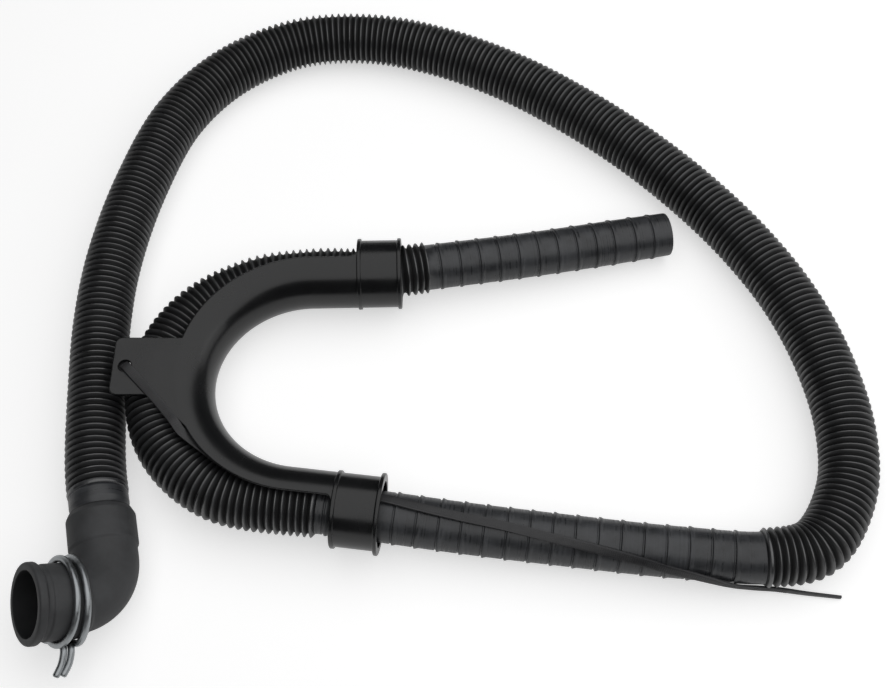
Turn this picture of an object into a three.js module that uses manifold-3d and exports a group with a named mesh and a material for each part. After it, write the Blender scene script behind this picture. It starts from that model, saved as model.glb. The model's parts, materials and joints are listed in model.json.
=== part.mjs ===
// Washing machine drain hose: one long corrugated hose with a rubber elbow and a wire spring clamp
// at the machine end, and its outlet end carried round a moulded U-bend holder by two collars.
// Units are millimetres, +Z is up, and the floor that the hose lies on is z = 0.

import * as THREE from "three";
import { mergeVertices } from "three/addons/utils/BufferGeometryUtils.js";
import Module from "manifold-3d";

const wasm = await Module();
wasm.setup();

// Driving dimensions

// Clearance between pieces that touch
const fit = 0.3;

// Hose: corrugated wall, and the crests beyond the upper collar, which shrink towards the outlet cuff
const hoseCrestRadius = 16;
const hoseCrestDepth = 2;
const hoseCrestPitch = 9.7;
const hoseWall = 1;
const exitCrestRadius = 14.9;
const exitCrestLength = 14;
const exitTaperLength = 36;

// Hose: plain cuff at the elbow
const inletCuffRadius = 15.2;
const inletCuffWall = 1.7;
const inletCuffLength = 34.5;
const inletCuffInserted = 22;

// Hose: ribbed stretch that slides in the lower collar
const gripRadius = 13.4;
const gripWall = 1.5;
const gripRibHeight = 0.6;
const gripRibPitch = 11.7;
const gripPlainEnd = 27.2;
const gripOverrun = 6.5;

// Hose: ribbed outlet cuff
const outletRadius = 13;
const outletMouthRadius = 12.6;
const outletWall = 1.6;
const outletRibHeight = 0.6;
const outletRibPitch = 11.45;
const outletPlainEnd = 8.6;
const outletMouthLength = 35;
const outletMouthRibs = [13, 24.1];

// Width of a rib's foot; the rib is a low ring with a rounded back
const ribWidth = 2.4;

// Length over which the wall passes from one section of the hose to the next
const blendLength = 4;

// Place of the hose in the mouth of the upper collar, where it leans on the far side
const exitLean = 1.6;
const exitRise = 0.2;

// U-bend holder: a half-pipe with a collar at the end of each leg
const bendCentre = [-82, -55.5];
const bendRadius = 71;
const bendTurn = -2.9;
const legSplay = 4.1;
const channelBoreRadius = 17.3;
const channelWall = 2;
const channelLip = 0.3;
const windowCornerRadius = 4.2;
const legLength = 25.5;
const collarLength = 25;
const flangeRadius = 21.5;
const rimRadius = 20.4;
const flangeThickness = 2.2;
const collarSeat = 1.1;

// U-bend holder: flat tab at the top of the bend, with a hole for the tie
const tabThickness = 2.5;
const tabReach = 104;
const tabTop = 18.4;
const tabBottom = -16.5;
const tabCornerRadius = 4;
const tabShoulder = 81;
const tabHeel = -35;
const tabHoleDiameter = 7;
const tabHoleInset = 6.5;

// How far the hose bows out of the open side of the half-pipe, and where round the bend
const hoseBow = 14;
const hoseBowAngle = 186;
const hoseBowSpread = 96;

// Rubber elbow
const elbowCorner = [-177.2, -175.3];
const socketHeading = 103;
const mouthHeading = 199.5;
const mouthRise = 34;
const elbowBendRadius = 21.5;
const elbowRadius = 16.9;
const elbowBoreRadius = 14.2;
const socketReach = 46.3;
const socketLength = 19.4;
const socketRadius = 17.8;
const socketChamfer = 3.5;
const mouthReach = 43.2;
const mouthBoreRadius = 16.3;
const mouthBoreDepth = 20;
const beadRadius = 20.3;
const beadLength = 4.3;
const neckRadius = 18.1;
const neckLength = 3.2;
const seatRadius = 18.9;
const seatLength = 17.7;
const seatBlend = 0.8;
const rounding = 1.2;

// Wire spring clamp
const wireDiameter = 3.5;
const clampSetback = 20.4;
const clampSpacing = [
  [0, 3.9],
  [40, 3.9],
  [160, 5.6],
  [250, 5],
  [300, 6],
  [355, 9.7],
  [400, 9.7],
];
const clampEndAngle = 27;
const clampTangLength = 12;
const clampTangLean = 2.6;
const clampBendRadius = 3;
const clampBridgeLength = 3;
const clampBridgeTaper = 0.9;
const clampBridgeCrown = 0.7;

// Cable tie
const tieWidth = 4.8;
const tieThickness = 1.3;
const tieHeadSize = [6.6, 7.2, 3.9];
const tieHeadOffset = -2.4;
const tieLayStart = -27;
const tieLayEnd = 118;
const tieLayEase = 1.2;
const tieLayLength = 181;
const tieTip = [196, -170];

// Cable tie: how far it hangs in the tab's hole, its run on the tab and the lift of its bends
const tieHoleOffset = 1;
const tieRootDepth = 3.5;
const tieBendLift = 0.4;
const tieTabRun = 23;

// Cable tie: under the top of the half-pipe, as an angle round the bend, a distance outside the
// bend's centre line and a lift over the hose
const tieBendRoute = [
  [199, 9.8, 3],
  [208, 6, 0.5],
  [219, 2, 0.1],
  [236, 0, 0.1],
  [255, -1, 0.1],
];

// Cable tie: in the lower leg, as a distance along it, a shift outwards and a lift over the hose
const tieLegRoute = [
  [7, 0, 0],
  [27, -4.5, -2.6],
];

// Facets
const hoseSides = 10;
const hoseStep = 18;
const channelSteps = 28;
const windowSteps = 24;
const cornerSteps = 4;
const collarSides = 24;
const elbowSides = 20;
const elbowStep = 8;
const wireSides = 6;
const wireSteps = 84;
const tieSteps = 70;

// Worked-out sizes
const holderHeight = flangeRadius;
const channelRadius = channelBoreRadius + channelWall;
const bowedHoseHeight = holderHeight - channelBoreRadius + hoseCrestRadius + fit;
const grippedHoseHeight = holderHeight - channelBoreRadius + gripRadius + gripRibHeight + fit;
const elbowHeight = socketRadius;
const hoseBoreRadius = hoseCrestRadius - hoseCrestDepth - hoseWall;
const outletHeight = outletRadius + outletRibHeight;
const tabHoleReach = tabReach - tabHoleInset;

const radians = THREE.MathUtils.degToRad;
const up = new THREE.Vector3(0, 0, 1);

// Unit vector in the floor plane at an angle from +X, in degrees
function heading(angle) {
  return new THREE.Vector3(Math.cos(radians(angle)), Math.sin(radians(angle)), 0);
}

// Solids

function solidOf(geometry) {
  const bare = geometry.index ? geometry.toNonIndexed() : geometry.clone();
  bare.deleteAttribute("normal");
  bare.deleteAttribute("uv");
  const merged = mergeVertices(bare, 1e-3);
  return new wasm.Manifold(
    new wasm.Mesh({
      numProp: 3,
      vertProperties: new Float32Array(merged.attributes.position.array),
      triVerts: new Uint32Array(merged.index.array),
    }),
  );
}

function geometryOf(solid) {
  const mesh = solid.getMesh();
  const positions = new Float32Array(mesh.numVert * 3);
  for (let i = 0; i < mesh.numVert; i++) {
    for (let k = 0; k < 3; k++) positions[3 * i + k] = mesh.vertProperties[mesh.numProp * i + k];
  }
  return new THREE.BufferGeometry()
    .setAttribute("position", new THREE.BufferAttribute(positions, 3))
    .setIndex(new THREE.BufferAttribute(mesh.triVerts, 1));
}

// A closed profile of [radius, distance along the axis] points turned round the axis, then bent so
// that the axis follows a curve. Long straight runs of the profile are cut into steps. The bend's
// section is levelled by a reference direction that the curve never points along.
function bentRevolve(profile, curve, sides, step, reference = up) {
  const points = [];
  profile.forEach(([radius, distance], i) => {
    const [nextRadius, nextDistance] = profile[(i + 1) % profile.length];
    const cuts = Math.max(1, Math.ceil(Math.abs(nextDistance - distance) / step));
    for (let k = 0; k < cuts; k++) {
      const share = k / cuts;
      points.push(
        new THREE.Vector2(
          THREE.MathUtils.lerp(radius, nextRadius, share),
          THREE.MathUtils.lerp(distance, nextDistance, share),
        ),
      );
    }
  });
  points.push(points[0].clone());
  const geometry = new THREE.LatheGeometry(points, sides);
  const position = geometry.attributes.position;
  const length = curve.getLength();
  for (let i = 0; i < position.count; i++) {
    const frame = frameAt(curve, position.getY(i) / length, reference);
    frame.point.addScaledVector(frame.rise, position.getX(i));
    frame.point.addScaledVector(frame.side, position.getZ(i));
    position.setXYZ(i, frame.point.x, frame.point.y, frame.point.z);
  }
  return geometry;
}

// Point, direction, sideways and upward unit vectors of a curve at a share of its length
function frameAt(curve, share, reference = up) {
  const along = THREE.MathUtils.clamp(share, 0, 1);
  const point = curve.getPointAt(along);
  const tangent = curve.getTangentAt(along);
  const side = new THREE.Vector3().crossVectors(reference, tangent).normalize();
  const rise = new THREE.Vector3().crossVectors(tangent, side);
  return { point, tangent, side, rise };
}

// Arc in space from a start direction, seen from its centre, through a quarter or other sweep
class SpaceArc extends THREE.Curve {
  constructor(centre, from, towards, radius, sweep) {
    super();
    Object.assign(this, { centre, from, towards, radius, sweep });
  }

  getPoint(t, target = new THREE.Vector3()) {
    const angle = t * this.sweep;
    return target
      .copy(this.centre)
      .addScaledVector(this.from, this.radius * Math.cos(angle))
      .addScaledVector(this.towards, this.radius * Math.sin(angle));
  }
}

function pathOf(...curves) {
  const path = new THREE.CurvePath();
  curves.forEach((curve) => path.add(curve));
  return path;
}

// Holder layout: the two legs leave the bend at a slight splay

const centre = new THREE.Vector3(...bendCentre, holderHeight);
const upperHeading = bendTurn + legSplay;
const lowerHeading = bendTurn - legSplay;

// One leg, seen from the bend: its direction, the point where the bend ends, and outwards from the U
function legOf(angle, outwardAngle) {
  const along = heading(angle);
  const outward = heading(outwardAngle);
  const start = centre.clone().addScaledVector(outward, bendRadius);
  const pointAt = (distance, offset = 0, height = holderHeight) =>
    start.clone().addScaledVector(along, distance).addScaledVector(outward, offset).setZ(height);
  return { along, outward, pointAt };
}

const upperLeg = legOf(upperHeading, upperHeading + 90);
const lowerLeg = legOf(lowerHeading, lowerHeading - 90);
const collarEnd = legLength + collarLength;
const bendSweep = radians(180 - 2 * legSplay);

// The holder's own centre line, from the upper collar round the bend to the lower collar
function holderPath(overrun) {
  return pathOf(
    new THREE.LineCurve3(upperLeg.pointAt(legLength + overrun), upperLeg.pointAt(0)),
    new SpaceArc(
      centre,
      upperLeg.outward,
      upperLeg.along.clone().negate(),
      bendRadius,
      bendSweep,
    ),
    new THREE.LineCurve3(lowerLeg.pointAt(0), lowerLeg.pointAt(legLength + overrun)),
  );
}

// Elbow layout: the socket takes the hose level with the floor, and the mouth rises from it

const corner = new THREE.Vector3(...elbowCorner, elbowHeight);
const socketAxis = heading(socketHeading);
const mouthAxis = heading(mouthHeading)
  .multiplyScalar(Math.cos(radians(mouthRise)))
  .addScaledVector(up, Math.sin(radians(mouthRise)));
const elbowUnder = new THREE.Vector3().crossVectors(mouthAxis, socketAxis).normalize();
const elbowInside = new THREE.Vector3().crossVectors(elbowUnder, mouthAxis);
const elbowTurn = Math.PI - mouthAxis.angleTo(socketAxis);
const mouthCentre = corner.clone().addScaledVector(mouthAxis, mouthReach);
const socketEnd = corner.clone().addScaledVector(socketAxis, socketReach);
const cuffStart = socketEnd.clone().addScaledVector(socketAxis, -inletCuffInserted);

function elbowPath() {
  const cutBack = elbowBendRadius * Math.tan(elbowTurn / 2);
  const bendStart = corner.clone().addScaledVector(mouthAxis, cutBack);
  const bendEnd = corner.clone().addScaledVector(socketAxis, cutBack);
  return pathOf(
    new THREE.LineCurve3(mouthCentre, bendStart),
    new SpaceArc(
      bendStart.clone().addScaledVector(elbowInside, elbowBendRadius),
      elbowInside.clone().negate(),
      mouthAxis.clone().negate(),
      elbowBendRadius,
      elbowTurn,
    ),
    new THREE.LineCurve3(bendEnd, socketEnd),
  );
}

// Route of the hose's centre line. The loose loop's points are chosen by hand; those in the elbow
// and the holder follow from their sizes.

const looseLoop = [
  [-194, -103, 16.5],
  [-199.5, -55, 16],
  [-202.5, -12, 16],
  [-201, 30, 16],
  [-191.5, 84, 16],
  [-173.5, 137, 16],
  [-144, 174.5, 16],
  [-102, 198, 16],
  [-55, 201.5, 16],
  [-9.5, 190, 16],
  [34, 169, 16],
  [73, 142, 16],
  [109, 111, 16],
  [140.5, 77.5, 16],
  [168, 41, 16],
  [189.5, 2, 16],
  [203, -39, 16],
  [208.5, -81, 16],
  [203.5, -117, 16],
  [184, -147.5, 16],
  [159, -153.5, 16],
];
const gripStretch = [
  [112, -150, 14.2],
  [50, -143.2, 14.9],
  [0, -137.3, 16.3],
];
const outletStretch = [
  [-19.8, 20.9, 20.8],
  [44, 32.9, 17.2],
  [123, 49.5, outletHeight],
];

// Hose centre in the bend, bowed out of the open side of the half-pipe
function bowedPoint(angle) {
  const phase = ((angle - hoseBowAngle) / hoseBowSpread) * (Math.PI / 2);
  const radius = bendRadius + hoseBow * Math.cos(phase) ** 2;
  return centre.clone().addScaledVector(heading(angle), radius).setZ(bowedHoseHeight);
}

const toPoint = (values) => new THREE.Vector3(...values);
const gripStartIndex = looseLoop.length + 1;
const gripEndIndex = gripStartIndex + gripStretch.length + 2;
const bowAngles = [234, 205, 176, 147, 118];
const outletIndex = gripEndIndex + bowAngles.length + 4;
const hoseRoute = new THREE.CatmullRomCurve3([
  cuffStart,
  socketEnd,
  ...looseLoop.map(toPoint),
  ...gripStretch.map(toPoint),
  lowerLeg.pointAt(collarEnd, 0, grippedHoseHeight),
  lowerLeg.pointAt(legLength - gripOverrun, 0, bowedHoseHeight),
  ...bowAngles.map(bowedPoint),
  upperLeg.pointAt(0, 0, bowedHoseHeight),
  upperLeg.pointAt(legLength, 0, bowedHoseHeight),
  upperLeg.pointAt(collarEnd, exitLean, holderHeight + exitRise),
  ...outletStretch.map(toPoint),
]);
hoseRoute.arcLengthDivisions = 3000;

// Length along the route as far as one of its points
function lengthTo(index) {
  const lengths = hoseRoute.getLengths();
  return lengths[Math.round((index / (hoseRoute.points.length - 1)) * (lengths.length - 1))];
}

const hoseLength = hoseRoute.getLength();
const gripStart = lengthTo(gripStartIndex);
const gripEnd = lengthTo(gripEndIndex);
const outletStart = lengthTo(outletIndex);
const exitTaperEnd = outletStart - exitCrestLength;
const exitTaperStart = exitTaperEnd - exitTaperLength;

// One rib round the wall, as low as its height above a wall of the given radius
function rib(at, radius, height) {
  return [
    [radius, at - ribWidth / 2],
    [radius + height, at],
    [radius, at + ribWidth / 2],
  ];
}

// Ribs at a pitch from one distance until short of another
function ribs(from, to, pitch, radius, height) {
  const points = [];
  for (let at = from; at < to - ribWidth; at += pitch) points.push(...rib(at, radius, height));
  return points;
}

// Whole crests between two distances, with a groove at each end
function crests(from, to) {
  const count = Math.round((to - from) / hoseCrestPitch);
  const pitch = (to - from) / count;
  const points = [];
  for (let i = 0; i <= 2 * count; i++) {
    const at = from + (i * pitch) / 2;
    const radius = crestRadiusAt(at);
    points.push([i % 2 ? radius : radius - hoseCrestDepth, at]);
  }
  return points;
}

function crestRadiusAt(distance) {
  const share = (distance - exitTaperStart) / exitTaperLength;
  return THREE.MathUtils.lerp(hoseCrestRadius, exitCrestRadius, THREE.MathUtils.clamp(share, 0, 1));
}

function hoseGeometry() {
  const mouthStart = hoseLength - outletMouthLength;
  const exitBoreRadius = exitCrestRadius - hoseCrestDepth - hoseWall;
  const outer = [
    [inletCuffRadius, 0],
    [inletCuffRadius, inletCuffLength],
    ...crests(inletCuffLength + blendLength / 2, gripStart - blendLength),
    [gripRadius, gripStart],
    ...ribs(gripStart + gripPlainEnd, gripEnd, gripRibPitch, gripRadius, gripRibHeight),
    [gripRadius, gripEnd],
    ...crests(gripEnd + blendLength, outletStart - blendLength / 4),
    [outletRadius, outletStart],
    ...ribs(
      outletStart + outletPlainEnd,
      mouthStart,
      outletRibPitch,
      outletRadius,
      outletRibHeight,
    ),
    [outletRadius, mouthStart],
    ...outletMouthRibs.flatMap((at) => {
      const radius = THREE.MathUtils.mapLinear(
        at,
        0,
        outletMouthLength,
        outletRadius,
        outletMouthRadius,
      );
      return rib(mouthStart + at, radius, outletRibHeight);
    }),
    [outletMouthRadius, hoseLength],
  ];
  const inner = [
    [outletMouthRadius - outletWall, hoseLength],
    [outletRadius - outletWall, mouthStart],
    [outletRadius - outletWall, outletStart],
    [exitBoreRadius, outletStart - blendLength],
    [exitBoreRadius, exitTaperEnd],
    [hoseBoreRadius, exitTaperStart],
    [hoseBoreRadius, gripEnd + blendLength],
    [gripRadius - gripWall, gripEnd],
    [gripRadius - gripWall, gripStart],
    [hoseBoreRadius, gripStart - blendLength],
    [hoseBoreRadius, inletCuffLength + blendLength],
    [inletCuffRadius - inletCuffWall, inletCuffLength],
    [inletCuffRadius - inletCuffWall, 0],
  ];
  return bentRevolve([...outer, ...inner], hoseRoute, hoseSides, hoseStep);
}

// U-bend holder

// Round bar along the holder's centre line
function barSolid(radius, overrun) {
  const circle = new THREE.Shape().absarc(0, 0, radius, 0, 2 * Math.PI, false);
  return solidOf(
    new THREE.ExtrudeGeometry(circle, {
      steps: channelSteps,
      curveSegments: collarSides / 2,
      extrudePath: holderPath(overrun),
      bevelEnabled: false,
    }),
  );
}

// What is cut away to leave a half-pipe open to the outside of the U, with round corners next to the
// two collars
function windowSolid() {
  const clear = 2 * channelRadius;
  const cornerAt = legLength - windowCornerRadius;
  const upperCorner = upperLeg.pointAt(cornerAt, channelLip + windowCornerRadius);
  const lowerCorner = lowerLeg.pointAt(cornerAt, channelLip + windowCornerRadius);
  const upperOut = upperLeg.pointAt(legLength, clear);
  const lowerOut = lowerLeg.pointAt(legLength, clear);
  const beyond = centre.x - bendRadius - clear;
  const outline = [
    new THREE.Vector2(upperOut.x, upperOut.y),
    ...arcPoints(upperCorner, windowCornerRadius, upperHeading, upperHeading - 90, cornerSteps),
    ...arcPoints(centre, bendRadius + channelLip, upperHeading + 90, lowerHeading + 270, windowSteps),
    ...arcPoints(lowerCorner, windowCornerRadius, lowerHeading + 90, lowerHeading, cornerSteps),
    new THREE.Vector2(lowerOut.x, lowerOut.y),
    new THREE.Vector2(beyond, lowerOut.y),
    new THREE.Vector2(beyond, upperOut.y),
  ];
  const depth = 2 * (channelRadius + channelWall);
  const geometry = new THREE.ExtrudeGeometry(new THREE.Shape(outline), { depth, bevelEnabled: false });
  geometry.translate(0, 0, holderHeight - depth / 2);
  return solidOf(geometry);
}

function arcPoints(middle, radius, from, to, steps) {
  return Array.from({ length: steps + 1 }, (_, i) => {
    const angle = radians(THREE.MathUtils.lerp(from, to, i / steps));
    return new THREE.Vector2(
      middle.x + radius * Math.cos(angle),
      middle.y + radius * Math.sin(angle),
    );
  });
}

function collarSolid(leg, mouthRadius) {
  const profile = [
    [0, 0],
    [rimRadius, 0],
    [rimRadius, flangeThickness],
    [channelRadius, flangeThickness],
    [channelRadius, collarLength - flangeThickness],
    [mouthRadius, collarLength - flangeThickness],
    [mouthRadius, collarLength],
    [0, collarLength],
  ].map(([radius, distance]) => new THREE.Vector2(radius, distance));
  const geometry = new THREE.LatheGeometry(profile, collarSides);
  geometry.applyQuaternion(
    new THREE.Quaternion().setFromUnitVectors(new THREE.Vector3(0, 1, 0), leg.along),
  );
  const seat = leg.pointAt(legLength);
  geometry.translate(seat.x, seat.y, seat.z);
  return solidOf(geometry);
}

// Flat tab: an outline in plan, level with the top of the half-pipe
function tabSolid() {
  const shape = new THREE.Shape();
  const topAngle = Math.PI - Math.asin(tabTop / bendRadius);
  const heelAngle = Math.PI - Math.asin(tabHeel / bendRadius);
  shape.moveTo(bendRadius * Math.cos(topAngle), tabTop);
  shape.lineTo(tabCornerRadius - tabReach, tabTop);
  shape.absarc(
    tabCornerRadius - tabReach,
    tabTop - tabCornerRadius,
    tabCornerRadius,
    Math.PI / 2,
    Math.PI,
    false,
  );
  shape.lineTo(-tabReach, tabBottom + tabCornerRadius);
  shape.absarc(
    tabCornerRadius - tabReach,
    tabBottom + tabCornerRadius,
    tabCornerRadius,
    Math.PI,
    1.5 * Math.PI,
    false,
  );
  shape.lineTo(-tabShoulder, tabBottom);
  shape.lineTo(bendRadius * Math.cos(heelAngle), tabHeel);
  shape.absarc(0, 0, bendRadius, heelAngle, topAngle, true);
  const hole = new THREE.Path();
  hole.absarc(-tabHoleReach, (tabTop + tabBottom) / 2, tabHoleDiameter / 2, 0, 2 * Math.PI, true);
  shape.holes.push(hole);
  const geometry = new THREE.ExtrudeGeometry(shape, {
    depth: tabThickness,
    curveSegments: 8,
    bevelEnabled: false,
  });
  geometry.translate(centre.x, centre.y, holderHeight + channelRadius - tabThickness);
  return solidOf(geometry);
}

function holderGeometry() {
  const shell = barSolid(channelRadius, collarSeat)
    .subtract(windowSolid())
    .add(collarSolid(upperLeg, rimRadius))
    .add(collarSolid(lowerLeg, flangeRadius))
    .add(tabSolid());
  return geometryOf(shell.subtract(barSolid(channelBoreRadius, collarLength + collarSeat)));
}

// Rubber elbow

function elbowGeometry() {
  const path = elbowPath();
  const length = path.getLength();
  const socketStart = length - socketLength;
  const neckStart = beadLength + seatBlend;
  const seatStart = neckStart + neckLength;
  const seatEnd = seatStart + seatLength;
  const socketBoreRadius = inletCuffRadius + fit;
  const socketDepth = inletCuffInserted + fit;
  const outer = [
    [beadRadius - rounding, 0],
    [beadRadius, rounding],
    [beadRadius, beadLength - rounding / 2],
    [neckRadius, neckStart],
    [neckRadius, seatStart - seatBlend],
    [seatRadius, seatStart],
    [seatRadius, seatEnd],
    [elbowRadius, seatEnd + seatBlend],
    [elbowRadius, socketStart - rounding],
    [socketRadius, socketStart],
    [socketRadius, length - socketChamfer],
    [socketBoreRadius + rounding, length],
  ];
  const inner = [
    [socketBoreRadius, length],
    [socketBoreRadius, length - socketDepth],
    [elbowBoreRadius, length - socketDepth],
    [elbowBoreRadius, mouthBoreDepth + mouthBoreRadius - elbowBoreRadius],
    [mouthBoreRadius, mouthBoreDepth],
    [mouthBoreRadius, 0],
  ];
  return bentRevolve([...outer, ...inner], path, elbowSides, elbowStep, elbowUnder);
}

// Double wire spring clamp: two loops of one wire side by side. Both free ends stand out between the
// loops, and a closed bridge joins the loops beyond the place where they cross.

const clampRadius = seatRadius + fit + wireDiameter / 2;
const clampCentre = mouthCentre.clone().addScaledVector(mouthAxis, -clampSetback);

function halfSpacing(angle) {
  const last = clampSpacing.findIndex(([key]) => key >= angle);
  const [toAngle, toSpacing] = clampSpacing[last];
  const [fromAngle, fromSpacing] = clampSpacing[Math.max(0, last - 1)];
  const share = toAngle > fromAngle ? (angle - fromAngle) / (toAngle - fromAngle) : 1;
  return THREE.MathUtils.lerp(fromSpacing, toSpacing, share) / 2;
}

// Point beside the clamp's axis: an angle round it, a radius, a tangential shift and an axial shift
function clampPoint(angle, radius, shift, axial) {
  const turn = radians(angle + clampEndAngle);
  const outward = elbowInside
    .clone()
    .multiplyScalar(-Math.cos(turn))
    .addScaledVector(elbowUnder, Math.sin(turn));
  const onward = elbowInside
    .clone()
    .multiplyScalar(Math.sin(turn))
    .addScaledVector(elbowUnder, Math.cos(turn));
  return clampCentre
    .clone()
    .addScaledVector(outward, radius)
    .addScaledVector(onward, shift)
    .addScaledVector(mouthAxis, axial);
}

function clampLoop(hand) {
  const points = [];
  const bend = clampBendRadius;
  const knee = bend * (1 - Math.SQRT1_2);
  const wrap = clampSpacing.at(-1)[0];
  const endSpacing = hand * halfSpacing(0);
  const bridgeSpacing = hand * halfSpacing(wrap);
  const tip = clampRadius + bend + clampTangLength;
  const bridgeFoot = clampRadius + bend + clampBridgeLength;
  points.push(clampPoint(0, tip, -bend, endSpacing + clampTangLean));
  points.push(clampPoint(0, (tip + clampRadius + bend) / 2, -bend, endSpacing + clampTangLean / 4));
  points.push(clampPoint(0, clampRadius + bend, -bend, endSpacing));
  points.push(clampPoint(0, clampRadius + knee, -bend * Math.SQRT1_2, endSpacing));
  for (let angle = 10; angle <= wrap - 10; angle += 20) {
    points.push(clampPoint(angle, clampRadius, 0, hand * halfSpacing(angle)));
  }
  points.push(clampPoint(wrap, clampRadius + knee, bend * Math.SQRT1_2, bridgeSpacing));
  points.push(clampPoint(wrap, clampRadius + bend, bend, bridgeSpacing));
  points.push(clampPoint(wrap, bridgeFoot, bend, bridgeSpacing * clampBridgeTaper));
  return points;
}

function clampGeometry() {
  const wrap = clampSpacing.at(-1)[0];
  const crown = clampRadius + clampBendRadius + clampBridgeLength + halfSpacing(wrap) * clampBridgeCrown;
  const wire = new THREE.CatmullRomCurve3([
    ...clampLoop(1),
    clampPoint(wrap, crown, clampBendRadius, 0),
    ...clampLoop(-1).reverse(),
  ]);
  wire.arcLengthDivisions = 2000;
  const section = new THREE.Shape().absarc(0, 0, wireDiameter / 2, 0, 2 * Math.PI, false);
  return new THREE.ExtrudeGeometry(section, {
    steps: wireSteps,
    curveSegments: wireSides / 2,
    extrudePath: wire,
    bevelEnabled: false,
  });
}

// Cable tie: its head lies under the tab's hole, and its tail runs over the tab, under the top of
// the half-pipe, through the lower collar and along the ribbed stretch down to the floor

const tabTopHeight = holderHeight + channelRadius;
const strapOver = tabTopHeight + fit + tieThickness / 2;
const strapLow = bowedHoseHeight + hoseCrestRadius + fit + tieThickness / 2;
const holeCentre = new THREE.Vector3(
  centre.x - tabHoleReach,
  centre.y + (tabTop + tabBottom) / 2,
  tabTopHeight - tabThickness,
);
const strapLeave = new THREE.Vector3(0.617, -0.787, 0);

// Place and outward direction of the strap where it lies on the hose, at an angle from the top
function onHose(distance, angle) {
  const frame = frameAt(hoseRoute, (gripEnd - distance) / hoseLength);
  const outward = frame.rise
    .clone()
    .multiplyScalar(Math.cos(radians(angle)))
    .addScaledVector(frame.side, Math.sin(radians(angle)));
  const radius = gripRadius + gripRibHeight + fit + tieThickness / 2;
  return { point: frame.point.addScaledVector(outward, radius), outward };
}

function strapStations() {
  const stations = [];
  const add = (point, outward) => stations.push({ point, outward });
  const overHole = (distance, height) =>
    holeCentre.clone().addScaledVector(strapLeave, distance).setZ(height);
  const inBend = (angle, radius, height) =>
    centre.clone().addScaledVector(heading(angle), radius).setZ(height);
  const backwards = strapLeave.clone().negate();
  add(overHole(-tieHoleOffset, holeCentre.z - tieRootDepth), backwards);
  add(overHole(-tieHoleOffset, holeCentre.z + tieHoleOffset), backwards);
  add(overHole(0, strapOver - tieBendLift), backwards.clone().add(up).normalize());
  add(overHole(tieWidth / 2, strapOver + tieBendLift), up);
  add(overHole(tieTabRun / 2, strapOver), up);
  add(overHole(tieTabRun, strapOver), up);
  tieBendRoute.forEach(([angle, outside, lift]) => {
    add(inBend(angle, bendRadius + outside, strapLow + lift), up);
  });
  tieLegRoute.forEach(([distance, shift, lift]) => {
    add(lowerLeg.pointAt(distance, shift, strapLow + lift), up);
  });
  const collarExit = gripEnd - lengthTo(gripEndIndex - 1);
  for (let k = 0; k <= 6; k++) {
    const share = k / 6;
    const angle = THREE.MathUtils.lerp(tieLayStart, tieLayEnd, share ** tieLayEase);
    const seat = onHose(collarExit + share * tieLayLength, angle);
    add(seat.point, seat.outward);
  }
  const tip = new THREE.Vector3(...tieTip, tieThickness + fit);
  const last = stations.at(-1);
  add(last.point.clone().lerp(tip, 0.5), new THREE.Vector3(0, -0.6, 1).normalize());
  add(tip, up);
  return stations;
}

function tieGeometry() {
  const stations = strapStations();
  const route = new THREE.CatmullRomCurve3(stations.map(({ point }) => point));
  route.arcLengthDivisions = 2000;
  const facing = new THREE.CatmullRomCurve3(stations.map(({ outward }) => outward));
  const length = route.getLength();
  const strap = new THREE.BoxGeometry(tieWidth, length, tieThickness, 1, tieSteps, 1);
  strap.translate(0, length / 2, 0);
  const position = strap.attributes.position;
  for (let i = 0; i < position.count; i++) {
    const along = THREE.MathUtils.clamp(position.getY(i) / length, 0, 1);
    const t = route.getUtoTmapping(along);
    const tangent = route.getTangent(t);
    const across = new THREE.Vector3().crossVectors(tangent, facing.getPoint(t)).normalize();
    const outward = new THREE.Vector3().crossVectors(across, tangent);
    const point = route.getPoint(t);
    point.addScaledVector(across, position.getX(i)).addScaledVector(outward, position.getZ(i));
    position.setXYZ(i, point.x, point.y, point.z);
  }
  const head = new THREE.BoxGeometry(...tieHeadSize);
  head.translate(tieHeadOffset, 0, 0);
  head.rotateZ(Math.atan2(strapLeave.y, strapLeave.x));
  head.translate(holeCentre.x, holeCentre.y, holeCentre.z - fit - tieHeadSize[2] / 2);
  return geometryOf(solidOf(strap).add(solidOf(head)));
}

// Materials

const hosePlastic = new THREE.MeshStandardMaterial({
  color: 0x26272a,
  roughness: 0.45,
  metalness: 0,
});
const holderPlastic = new THREE.MeshStandardMaterial({
  color: 0x1d1e20,
  roughness: 0.38,
  metalness: 0,
});
const rubber = new THREE.MeshStandardMaterial({
  color: 0x333436,
  roughness: 0.7,
  metalness: 0,
});
const zincWire = new THREE.MeshStandardMaterial({
  color: 0xb4babd,
  roughness: 0.3,
  metalness: 1,
});
const nylon = new THREE.MeshStandardMaterial({
  color: 0x18191a,
  roughness: 0.5,
  metalness: 0,
});

// Assembly

const drainHose = new THREE.Group();

function place(name, geometry, material) {
  const mesh = new THREE.Mesh(geometry, material);
  mesh.name = name;
  drainHose.add(mesh);
}

place("hose", hoseGeometry(), hosePlastic);
place("u_bend_holder", holderGeometry(), holderPlastic);
place("elbow", elbowGeometry(), rubber);
place("spring_clamp", clampGeometry(), zincWire);
place("cable_tie", tieGeometry(), nylon);

export default drainHose;
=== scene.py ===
import json
import math

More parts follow.
